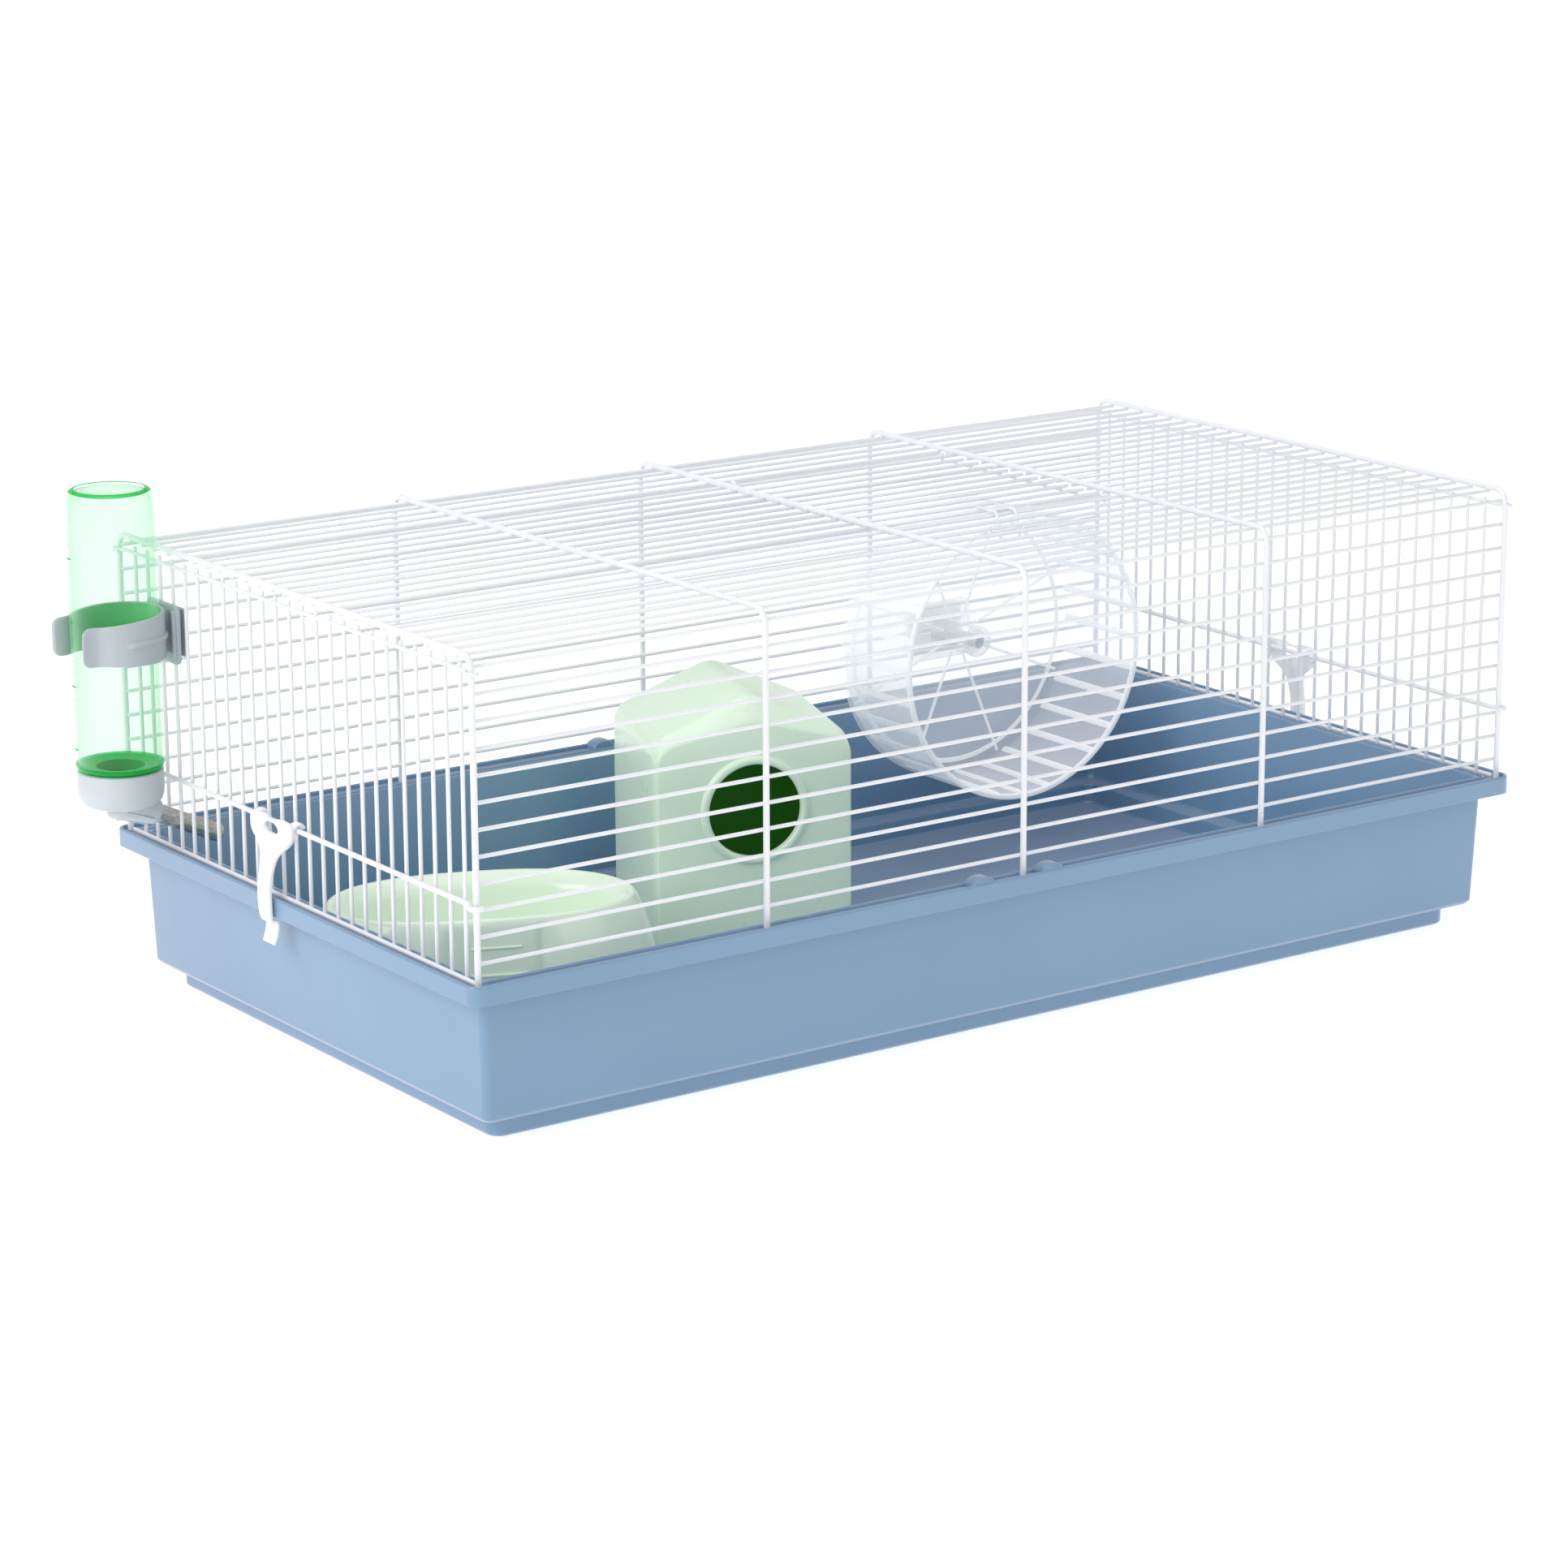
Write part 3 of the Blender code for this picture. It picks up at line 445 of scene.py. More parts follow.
CAPG = plastic("cap_grey_plastic", (0.50, 0.55, 0.58), 0.40, 0.03, 0.05,
               grain=1200.0, bump=0.02, cloud=30.0)[0]
MINT = painted_glow(plastic("house_mint_plastic", (0.71, 0.87, 0.69), 0.30, 0.02, 0.03,
                    grain=1500.0, bump=0.0, cloud=12.0)[0], (0.80, 0.95, 0.84), 0.06)
# painted shade: the house's inside faces get a darker, deeper green copy of the mint plastic, plus a faint
# green painted glow
MINT_SHADED_IN = painted_glow(plastic("house_mint_inside_painted_shade", (0.18, 0.50, 0.12), 0.45, 0.03, 0.03,
                       grain=1500.0, bump=0.0, cloud=12.0)[0], (0.02, 0.16, 0.01), 0.10)
MINT_B = painted_glow(plastic("bowl_mint_plastic", (0.66, 0.78, 0.64), 0.18, 0.02, 0.03,
                      grain=1500.0, bump=0.0, cloud=12.0, spec=0.8)[0], (0.80, 0.95, 0.80), 0.10)
GREEN_IN = plastic("holder_inner_face", (0.012, 0.48, 0.085), 0.40, 0.10, 0.05,
                   grain=800.0, bump=0.02, cloud=60.0)[0]
PIN = plastic("axle_bright_steel", (0.74, 0.75, 0.77), 0.30, 0.02, 0.05,
              grain=900.0, bump=0.0, cloud=60.0, spec=0.9)[0]
# painted light: the washer is a bright green, lighter than its own colour, to lift the shade inside the cap;
# the green stands in for light tinted by the bottle
RUBBER = plastic("seal_rubber", (0.50, 0.92, 0.56), 0.60, 0.04, 0.05,
                 grain=900.0, bump=0.04, cloud=60.0)[0]
CLEAR = painted_glow(tinted("wheel_clear_plastic", (1.0, 1.0, 1.0), (0.88, 0.91, 0.95), 0.12, 0.26, 0.60, 2.0),
             (0.97, 0.985, 1.0), 0.16)
CLEAR_RIB = painted_glow(clear("wheel_clear_rib", (0.95, 0.96, 0.97), 0.15, 0.55, 0.85), (0.97, 0.985, 1.0), 0.16)
CLEAR_RIM = painted_glow(clear("wheel_clear_rim", (0.95, 0.96, 0.97), 0.12, 0.50, 0.85), (0.97, 0.985, 1.0), 0.18)
BRACKET = painted_glow(clear("bracket_milky_plastic", (0.95, 0.96, 0.97), 0.20, 0.20, 0.60), (0.97, 0.985, 1.0), 0.10)
BOTTLE = tinted("bottle_green_plastic", (0.925, 0.985, 0.940), (0.55, 0.93, 0.68), 0.05, 0.045, 0.50,
                2.2, coat=0.5)
BOTTLE_T = tinted("bottle_thick_plastic", (0.14, 0.88, 0.36), (0.004, 0.50, 0.060), 0.10, 0.60, 0.98,
                  1.2)
BOTTLE_T.node_tree.nodes["Principled BSDF"].inputs["Specular IOR Level"].default_value = 0.15

STEEL, nt, b, tc = nodes_of("tube_steel")
st = nt.nodes.new("ShaderNodeMapping")
st.inputs["Rotation"].default_value = (0.0, TUBE_SLOPE, 0.0)
st.inputs["Scale"].default_value = (60.0, 900.0, 900.0)
nt.links.new(tc.outputs["Object"], st.inputs["Vector"])
dn = nt.nodes.new("ShaderNodeTexNoise")
dn.inputs["Scale"].default_value = 1.0
nt.links.new(st.outputs["Vector"], dn.inputs["Vector"])
nt.links.new(mixed(nt, ranged(nt, dn.outputs["Fac"], 0.0, 1.0), (0.50, 0.47, 0.44),
                   (0.66, 0.64, 0.62)), b.inputs["Base Color"])
nt.links.new(ranged(nt, dn.outputs["Fac"], 0.24, 0.38), b.inputs["Roughness"])
b.inputs["Metallic"].default_value = 1.0

# -------------------------------------------------------------------- tray
PROFILE = [
    (-16.3, 0.0, 6.0), (-15.0, 1.2, 7.2), (-14.7, 9.4, 7.6),
    (-13.6, 10.3, 7.0), (-7.6, 10.4, 4.0), (-6.2, 12.2, 3.8),
    (-4.5, 61.0, 3.8), (-4.3, 70.9, 3.8), (3.9, 70.9, 5.0),
    (4.1, 66.2, 5.2), (5.8, 66.2, 6.8), (5.7, 74.2, 6.7),
    (5.3, 74.7, 6.3), (4.4, 74.7, 5.2), (3.9, 74.2, 4.6),
    (3.9, LEDGE_Z, 4.6), (-2.6, LEDGE_Z, 3.4), (-2.9, 73.7, 3.2),
    (-3.7, 73.7, 3.0), (-4.0, LEDGE_Z, 3.0), (-4.9, LEDGE_Z, 3.0),
    (-5.2, 73.4, 3.0), (-6.2, 73.4, 3.0), (-6.8, 72.4, 3.2),
    (-8.6, 14.0, 3.4), (-9.6, 12.4, 3.4), (-16.2, 12.2, 5.0),
    (-16.6, 11.6, 5.0), (-17.0, 3.0, 5.0), (-18.0, 2.0, 4.4)]
g = Geo()
g.rings([round_rect(LEG_X + o, LEG_Y + o, r, z, 12) for o, z, r in PROFILE])
make("tray_shell", g, TRAY, "tray", ["base_tray"], 30.0, 0.32, 2)
g = Geo()
for sx in (-26.4, 12.4):
    for sy in (-1.0, 1.0):
        rings = []
        for dy, s in ((5.1, 0.80), (4.8, 0.92), (4.2, 1.0), (-2.0, 1.0), (-2.8, 0.92), (-3.2, 0.80)):
            sec = [(sx + 6.0 * s, sy * (LEG_Y + dy), 72.0)]
            for k in range(0, 21):
                t = math.pi * k / 20
                sec.append((sx + 6.0 * s * math.cos(t), sy * (LEG_Y + dy),
                            73.6 + 3.6 * s * math.sin(t)))
            sec.append((sx - 6.0 * s, sy * (LEG_Y + dy), 72.0))
            rings.append(sec)
        g.rings(rings)
make("tray_rim_lugs", g, TRAY, "tray", (), 40.0)

# ------------------------------------------------------------------ wire top
g = Geo()
for x in HOOPS_X:
    g.tube(fillet([(x, -LEG_Y, LEDGE_Z + 1.0), (x, -LEG_Y, ROOF_Z), (x, LEG_Y, ROOF_Z),
                   (x, LEG_Y, LEDGE_Z + 1.0)], 6.5, 8), HOOP_R, 14)
make("wire_hoops", g, ENAMEL, "cage_top", (), 50.0)
for name, s, node in (("wall_wires_front", -1.0, "front_grille"),
                      ("wall_wires_back", 1.0, "back_grille")):
    g = Geo()
    for k in range(WALL_N):
        z = WALL_Z0 + k * PITCH_Z
        y = s * (LEG_Y - WALL_IN)
        g.tube([(-LEG_X + 0.5, y, z), (-100.0, y, z), (100.0, y, z), (LEG_X + 0.2, y, z)], WIRE_R, 10)
    make(name, g, ENAMEL, "cage_top", [node], 50.0)
g = Geo()
for k in range(1, 26):
    y = -LEG_Y + k * PITCH_Y
    if EDGE_K < k < HINGE_K:
        spans = ((-LEG_X - 0.4, HOOPS_X[2] + 0.9), (HOOPS_X[3] - 0.9, LEG_X + 0.4))
    else:
        spans = ((-LEG_X - 0.4, LEG_X + 0.4),)
    for x0, x1 in spans:
        g.tube([(x0, y, ROOF_WZ), (x1, y, ROOF_WZ)], WIRE_R, 10)
make("roof_wires", g, ENAMEL, "cage_top",
     ["roof_front", "roof_rear", "roof_left", "roof_right"], 50.0)

for name, s in (("left_end", -1.0), ("right_end", 1.0)):
    xv = s * (LEG_X - WALL_IN)
    x_thin = s * (LEG_X - WALL_IN + 2 * WIRE_R - BITE)
    x_mid = s * (LEG_X - WALL_IN + WIRE_R + MID_R - BITE)
    g = Geo()
    for k in range(1, 26):
        y = -LEG_Y + k * PITCH_Y
        g.tube([(xv, y, LOW_Z - 0.3), (xv, y, TOP_Z + 2.2)], WIRE_R, 10)
    g.tube([(x_thin, -LEG_Y + 2.9, LOW_Z), (x_thin, LEG_Y - 2.9, LOW_Z)], WIRE_R, 10)
    for z, x, wr in ((TOP_Z, x_thin, WIRE_R), (MID_Z, x_mid, MID_R)):
        half = {}
        for e in (-1.0, 1.0):
            a_mid = 90.0 if e < 0 else -90.0
            turn = 1.0 if s * e > 0 else -1.0
            rr = 1.75 + wr
            curl = arc((s * LEG_X, e * LEG_Y, z), rr, a_mid + turn * 210.0, a_mid + turn * 25.0,
                       "XY", 20)
            half[e] = curl
        a = half[-1.0] + [Vector((x, -LEG_Y + 5.2, z)), Vector((x, -LEG_Y + 9.0, z))]
        c = half[1.0] + [Vector((x, LEG_Y - 5.2, z)), Vector((x, LEG_Y - 9.0, z))]
        g.tube(a + c[::-1], wr, 10)
    make(name + "_wires", g, ENAMEL, "cage_top", [name + "_panel"], 50.0)

# ----------------------------------------------------------------- roof door
SIDE_Z = ROOF_WZ - WIRE_R - 1.0 + BITE
g = Geo()
for x in DOOR_SIDE:
    path = [Vector((x, EDGE_Y + 2.4, SIDE_Z)), Vector((x, HINGE_Y - 12.0, SIDE_Z)),
            Vector((x, HINGE_Y - 5.0, SIDE_Z - 0.1)), Vector((x, HINGE_Y - 2.0, SIDE_Z - 0.45))]
    path += arc((x, HINGE_Y, ROOF_WZ), 2.05, -90.0, 168.0, "YZ", 18)
    rad = [1.0] * 2 + [0.95, 0.9] + [0.85] * 19
    g.tube(path, rad, 12)
g.tube([(DOOR_X0, EDGE_Y + 3.2, ROOF_WZ), (DOOR_X1, EDGE_Y + 3.2, ROOF_WZ)], WIRE_R, 10)
for k in range(EDGE_K + 1, HINGE_K):
    y = -LEG_Y + k * PITCH_Y
    g.tube([(DOOR_X0, y, ROOF_WZ), (DOOR_X1, y, ROOF_WZ)], WIRE_R, 10)
make("roof_door_wires", g, ENAMEL, "door", ["roof_door"], 50.0)

g = Geo()
zt = ROOF_WZ + WIRE_R + 1.05
for dx in (-5.5, 5.5):
    x = LATCH_X + dx
    g.tube(fillet([(x, EDGE_Y + 12.4, zt), (x, EDGE_Y - 2.0, zt),
                   (x, EDGE_Y - 3.3, ROOF_WZ - 1.6), (x, EDGE_Y - 6.2, ROOF_WZ - 10.9)],
                  [0, 1.6, 3.0, 0], 6), 0.75, 10)
g.slab(plate2d(5.3, 2.1, 0.7, 5, LATCH_X, EDGE_Y + 3.2), "Z", ROOF_WZ + WIRE_R + 0.5,
       ROOF_WZ + WIRE_R + 1.6, 0.4)
make("roof_latch", g, ENAMEL, "door", ["door_latch"], 50.0)

# --------------------------------------------------------------------- clips
def super_ring(hw, th, n=28, px=0.2, py=0.5):
    out = []
    for k in range(n):
        t = 2 * math.pi * (k + 0.5) / n
        c, q = math.cos(t), math.sin(t)
        out.append((hw * math.copysign(abs(c) ** px, c), th * math.copysign(abs(q) ** py, q)))
    return out


for name, s, cy in (("left_clip", -1.0, PITCH_Y), ("right_clip", 1.0, 0.0)):
    hx = s * (LEG_X - WALL_IN + WIRE_R + MID_R - BITE)
    upper = spline([(3.5, 3.2, 15.4, 0.75), (3.5, 2.7, 16.9, 1.0), (3.5, 1.2, 17.7, 1.1),
                    (3.5, -1.5, 17.9, 1.1), (3.6, -4.5, 17.2, 1.1), (3.9, -7.4, 14.4, 1.1),
                    (4.5, -10.2, 10.4, 1.1), (5.4, -13.2, 7.2, 1.1), (6.6, -18.0, 5.6, 1.1),
                    (7.9, -25.0, 5.1, 1.1), (8.4, -31.0, 5.1, 1.1), (8.15, -38.0, 5.0, 1.05),
                    (7.8, -41.2, 4.8, 0.95)], 3)
    lower = spline([(7.5, -42.1, 4.7, 0.9), (6.9, -42.75, 4.8, 0.9), (5.7, -42.95, 5.0, 0.9),
                    (4.95, -43.4, 5.1, 0.9), (4.65, -44.4, 5.2, 0.9), (4.65, -45.8, 5.2, 0.9),
                    (5.3, -49.2, 5.2, 0.9), (6.6, -52.6, 5.0, 0.8), (6.9, -53.2, 4.6, 0.6)], 3)
    rows = upper + lower
    g = Geo()
    rings = []
    for i, (o, dz, wd, th) in enumerate(rows):
        a = Vector(rows[max(0, i - 1)][:2])
        b2 = Vector(rows[min(len(rows) - 1, i + 1)][:2])
        d = (b2 - a).normalized()
        nrm = Vector((-d.y, d.x))
        rings.append([(hx + s * (o + nrm.x * tt), cy + yy, MID_Z + dz + nrm.y * tt)
                      for yy, tt in super_ring(wd, th)])
    # the plate is open at its eye, so its upper part is laid out round the eye
    eye_y, eye_z, eh, ew = 0.0, -1.5, 2.9, 6.4
    first = next(i for i, r in enumerate(rows) if r[1] < -7.0)
    g.rings(rings[first:])
    outline = []
    for i in range(first + 1):
        outline.append((rows[i][2], rows[i][1]))
    outline = [(-yy, zz) for yy, zz in outline[::-1]] + [(-9.0, 3.7), (-5.0, 3.3), (-3.4, 2.6),
                                                        (0.0, 2.3), (3.4, 2.6), (5.0, 3.3),
                                                        (9.0, 3.7)] + outline
    n_o = len(outline)
    # matching points round the eye
    def eye_pt(k):
        yy, zz = outline[k]
        ang = math.atan2((zz - eye_z) / 5.0, yy / 17.0)
        return (eye_y + ew * math.cos(ang), eye_z + eh * math.sin(ang))
    secs = []
    for k in range(n_o):
        y_o, z_o = outline[k]
        y_i, z_i = eye_pt(k)
        dd = Vector((y_i - y_o, z_i - z_o)).normalized()
        def lean(zz):
            return 3.5 + 0.05 * max(0.0, -zz - 2.0) ** 1.2
        sec = []
        for t, h in ((0.0, -0.6), (0.35, -1.1), (1.0, -1.1), (1.35, -0.6), (1.35, 0.6), (1.0, 1.1),
                     (0.35, 1.1), (0.0, 0.6)):
            if t <= 0.5:
                py_, pz_ = y_o + dd.x * t, z_o + dd.y * t
            else:
                u3 = 1.35 - t
                py_, pz_ = y_i - dd.x * u3, z_i - dd.y * u3
            sec.append((hx + s * (lean(pz_) + h), cy + py_, MID_Z + pz_))
        secs.append(sec)
    g.rings(secs, closed=True)
    for y in (-15.4, 15.4):
        prof = [(2.78 + yy, tt) for yy, tt in super_ring(0.92, 2.15, 16, 0.7, 0.45)]
        rings = []
        for k in range(21):
            ang = RAD(-s * 72.0 + (s * 165.0 + s * 72.0) * k / 20)
            rings.append([(hx + r * math.sin(ang), cy + y + h, MID_Z + r * math.cos(ang))
                          for r, h in prof])
        g.rings(rings)
    make(name + "_moulded", g, CLIP, "clip_left" if s < 0 else "clip_right", [name],
         38.0)

# -------------------------------------------------------------------- bottle
BX, BY = BOTTLE_X, BOTTLE_Y
Z1 = BOTTLE_Z1
out = [(12.3, BOTTLE_Z0), (12.3, BOT_Z + 41.3), (17.6, BOT_Z + 41.6), (19.2, BOT_Z + 42.3),
       (20.0, BOT_Z + 44.0), (20.0, Z1 - 7.0), (19.85, Z1 - 4.8), (19.2, Z1 - 2.4),
       (18.2, Z1 - 0.9), (16.9, Z1 - 0.1), (15.6, Z1), (14.4, Z1 - 0.4), (10.0, Z1 - 1.9),
       (5.0, Z1 - 2.6), (0.0, Z1 - 2.8)]
ins = [(0.0, Z1 - 4.2), (5.0, Z1 - 4.0), (10.0, Z1 - 3.3), (14.2, Z1 - 1.9), (15.6, Z1 - 1.5),
       (16.6, Z1 - 1.6), (17.4, Z1 - 2.4), (18.2, Z1 - 4.0), (18.75, Z1 - 7.2),
       (18.8, BOT_Z + 45.0), (18.2, BOT_Z + 43.6), (16.8, BOT_Z + 42.9),
       (10.9, BOT_Z + 42.6), (10.9, BOTTLE_Z0)]
g = Geo()
g.lathe(out[::-1] + ins[::-1], (BX, BY, 0.0), (0, 0, 1), 72, closed=False)
n_b = 72
# turn the same profile again, its faces sorted into thin and thick wall
prof = out[::-1] + ins[::-1]
g = Geo()
m = len(prof)
pts = []
for k in range(n_b):
    t = 2 * math.pi * k / n_b
    pts += [(BX + r * math.cos(t), BY + r * math.sin(t), z) for r, z in prof]
thin, thick = [], []
for k in range(n_b):
    a, b1 = k * m, ((k + 1) % n_b) * m
    for i in range(m - 1):
        z_mid = (prof[i][1] + prof[i + 1][1]) / 2
        r_mid = (prof[i][0] + prof[i + 1][0]) / 2
        (thick if z_mid < BOT_Z + 43.4 or (z_mid > Z1 - 1.75 and 15.2 < r_mid < 17.8) else thin).append((a + i, a + i + 1, b1 + i + 1, b1 + i))
n0 = len(g.v)
g.put(pts, thin)
g.slot = 1
g.f += [tuple(i + n0 for i in q) for q in thick]
g.m += [1] * len(thick)
# raised level marks
g.slot = 0
for k in range(19):
    z = BOT_Z + 52.0 + k * 5.8
    long = k % 5 == 0
    half = 7.0 if long else 3.5
    rings = []
    for j in range(9):
        ang = RAD(170.0 - half + 2 * half * j / 8)
        tap = 1.0 if 0 < j < 8 else 0.4
        rings.append([(BX + r * math.cos(ang), BY + r * math.sin(ang), z + h * tap)
                      for r, h in ((19.9, -0.35), (20.12, -0.28), (20.22, 0.0), (20.12, 0.28), (19.9, 0.35))])
    g.slot = 1 if long else 0
    g.rings(rings)
make("bottle_body", g, [BOTTLE, BOTTLE_T], "bottle", ["bottle"], 40.0)

# ------------------------------------------------------------- cap and tube
def on_tube(back):
    return TIP - TD * back


g = Geo()
z0 = CAP_Z0
g.lathe([(0.0, z0 + 0.1), (12.0, z0), (14.6, z0 + 0.3), (16.8, z0 + 1.3), (18.3, z0 + 3.0),
         (19.1, z0 + 5.4), (19.4, z0 + 8.6), (19.4, CAP_Z1 - 1.2), (19.2, CAP_Z1 - 0.4),
         (18.6, CAP_Z1), (13.4, CAP_Z1), (12.9, CAP_Z1 - 0.3), (12.8, CAP_Z1 - 0.8),
         (12.8, z0 + 2.8), (12.2, z0 + 2.5), (0.0, z0 + 2.4)],
        (BX, BY, 0.0), (0, 0, 1), 72, closed=False)
g.lathe([(4.45, 36.0), (5.2, 35.8), (5.8, 36.4), (6.0, 38.0), (6.4, 42.0), (7.4, 48.0),
         (8.6, 53.0), (9.0, 57.0), (7.0, 58.5), (4.45, 58.5)], TIP, -TD, 48)
for a in (-62.0, 0.0, 62.0):
    # small webs between elbow and cup
    rings = []
    side = Vector((0, 1, 0))
    for k in range(9):
        q = k / 8.0
        bk = 39.0 + 15.0 * q
        rr = 6.2 + 1.9 * q * q + 1.0
        rad = (Vector((TD.z, 0, -TD.x)) * math.cos(RAD(a)) + side * math.sin(RAD(a)))
        tn = TD.cross(rad).normalized() * 0.6
        c0, c1 = on_tube(bk) + rad * 5.6, on_tube(bk) + rad * rr
        rings.append([c0 - tn, c1 - tn * 0.7, c1 + tn * 0.7, c0 + tn])
    g.rings(rings)
make("bottle_cap_moulded", g, CAPG, "cage_top", ["bottle_cap"], 40.0)

g = Geo()
g.lathe([(6.8, z0 + 2.7), (7.1, z0 + 2.6), (12.0, z0 + 2.6), (12.3, z0 + 2.9),
         (12.3, BOTTLE_Z0 - 0.5), (12.0, BOTTLE_Z0 - 0.3), (7.0, BOTTLE_Z0 - 0.3),
         (6.8, BOTTLE_Z0 - 0.6)], (BX, BY, 0.0), (0, 0, 1), 48)
make("bottle_washer", g, RUBBER, "cage_top", ["bottle_seal"], 40.0)

g = Geo()
g.lathe([(4.2, 47.6), (4.2, 2.6), (4.12, 1.9), (3.8, 1.0), (3.3, 0.35), (2.9, 0.05),
         (2.6, 0.1), (2.55, 0.4), (2.8, 1.1), (3.3, 2.2), (3.55, 3.0), (3.6, 47.6)],
        TIP, -TD, 40)
make("drinking_tube", g, STEEL, "cage_top", ["sipper_tube"], 40.0)
g = Geo()
R = 2.82
g.lathe([(R * math.sin(RAD(a)), -R * math.cos(RAD(a)) + 2.2) for a in range(0, 181, 12)],
        TIP, -TD, 28, closed=False)
make("tube_ball", g, STEEL, "ball", ["sipper_ball"], 60.0)

# ------------------------------------------------------------------- holder
g = Geo()
steps = 72
rows = []
for k in range(steps + 1):
    a = -136.0 + 272.0 * k / steps
    f = abs(a) / 136.0
    rows.append((a, HZ0 + 1.4 * f * f, HZ1 - 3.0 * f * f))
outer, inner = [], []
for a, zl, zh in rows:
    t = RAD(a)
    c, q = math.cos(t), math.sin(t)
    sec = [(20.5, zl + 0.5), (20.75, zl + 0.1), (21.3, zl), (22.1, zl + 0.15), (22.4, zl + 0.7),
           (22.4, (zl + zh) / 2 - 1.8), (23.1, (zl + zh) / 2 - 1.5), (23.5, (zl + zh) / 2 - 0.8),
           (23.5, (zl + zh) / 2 + 0.2), (23.1, (zl + zh) / 2 + 0.9), (22.4, (zl + zh) / 2 + 1.2),
           (22.4, zh - 0.7), (22.1, zh - 0.15), (21.3, zh), (20.75, zh - 0.1), (20.5, zh - 0.5)]
    if not -100.0 < a < -24.0:
        sec = [(min(r, 22.4), z) for r, z in sec]
    outer.append([(BX + r * c, BY + r * q, z) for r, z in sec])
n_s = len(outer[0])
pts = [p for r in outer for p in r]
faces_o, faces_i = [], []
for k in range(steps):
    a, b1 = k * n_s, (k + 1) * n_s
    for i in range(n_s):
        j = (i + 1) % n_s
        (faces_i if i == n_s - 1 else faces_o).append((a + i, a + j, b1 + j, b1 + i))
faces_o.append(tuple(reversed(range(n_s))))
faces_o.append(tuple(steps * n_s + i for i in range(n_s)))
g.put(pts, faces_o)
g.f += faces_i
g.m += [1] * len(faces_i)
for s in (-1.0, 1.0):
    rows = spline([(122.0, 21.45, 0.9, 0.0), (130.0, 21.5, 0.95, 0.0), (136.5, 21.9, 1.1, -14.0),
                   (141.5, 23.2, 1.2, -32.0), (145.5, 25.2, 1.15, -40.0), (148.5, 27.6, 1.0, -42.0)], 5)
    rings = []
    for i, (a, r, tk, off) in enumerate(rows):
        t = RAD(a)
        c0 = Vector((BX + r * math.cos(t), BY + s * r * math.sin(t), 0))
        gg = RAD(a + off)
        nrm = Vector((math.cos(gg), s * math.sin(gg), 0))
        q = max(0.0, (i - len(rows) + 9) / 8.0)
        zl = HZ0 + 1.3 + 3.2 * q ** 3
        zh = HZ1 - 2.9 - 3.2 * q ** 3
        ring = []
        for k in range(20):
            tt = 2 * math.pi * (k + 0.5) / 20
            cc, qq = math.cos(tt), math.sin(tt)
            h = (zl + zh) / 2 + (zh - zl) / 2 * math.copysign(abs(qq) ** 0.25, qq)
            w = tk * math.copysign(abs(cc) ** 0.6, cc) * (0.5 if i == len(rows) - 1 else 1.0)
            ring.append(tuple(c0 + nrm * w + Vector((0, 0, h))))
        rings.append(ring)
    g.rings(rings)
PX = -LEG_X
zc, hh = (HZ0 + HZ1) / 2 - 1.5, (HZ1 - HZ0) / 2 + 2.5
g.slab(plate2d(14.0, hh, 3.0, 8, BY, zc), "X", PX - 1.3, PX + 0.9, 0.6)
g.slab(plate2d(7.0, 10.0, 1.0, 4, BY, zc + 1.5), "X", PX - 3.9, PX - 0.6, 0.3)
g.slab(plate2d(13.0, 11.0, 2.4, 8, BY, zc + 0.5), "X", PX + 3.3, PX + 5.1, 0.6)
g.slab(plate2d(3.0, 8.0, 0.8, 4, BY, zc + 1.5), "X", PX + 0.2, PX + 4.2, 0.2)
for yy in (-12.2, 12.2):
    g.slab(plate2d(1.1, hh - 2.0, 0.9, 4, BY + yy, zc), "X", PX - 2.9, PX - 0.9, 0.5)
make("bottle_ring_clip", g, [GREY, GREEN_IN], "cage_top", ["bottle_holder"], 40.0)

# -------------------------------------------------------------------- wheel
Y0, Y1 = WHEEL_Y0, WHEEL_Y1
WC = Vector((WHEEL_X, 0.0, WHEEL_Z))
g = Geo()
R = WHEEL_R
g.lathe([(3.4, Y1), (7.0, Y1), (R - 4.0, Y1), (R - 1.4, Y1 - 0.3), (R - 0.3, Y1 - 1.4), (R, Y1 - 4.0),
         (R, Y0 + 3.0), (R, Y0), (R - 1.5, Y0), (R - 1.5, Y0 + 3.0), (R - 1.5, Y1 - 4.2),
         (R - 1.9, Y1 - 2.5), (R - 4.2, Y1 - 1.5), (9.0, Y1 - 1.5), (8.2, Y1 - 2.2),
         (7.2, Y1 - 15.2), (6.8, Y1 - 16.0), (3.8, Y1 - 16.0), (3.4, Y1 - 15.6)],
        WC, (0, 1, 0), 144)
make("wheel_shell", g, CLEAR, "wheel", ["wheel_drum"], 32.0)
g = Geo()
for i in range(WHEEL_RIBS):
    t = 2 * math.pi * i / WHEEL_RIBS
    c, s2 = math.cos(t), math.sin(t)
    tn = Vector((-s2, 0, c))
    rad = Vector((c, 0, s2))
    rings = []
    for y, h in ((Y0 + 1.0, 0.5), (Y0 + 3.0, 1.4), (Y1 - 5.0, 1.4), (Y1 - 2.0, 1.0)):
        b0 = WC + rad * (R - 1.4) + Vector((0, y, 0))
        rings.append([b0 - tn * 1.9, b0 - tn * 1.5 - rad * h * 0.7, b0 - tn * 0.7 - rad * h,
                      b0 + tn * 0.7 - rad * h, b0 + tn * 1.5 - rad * h * 0.7, b0 + tn * 1.9])
    g.rings(rings)
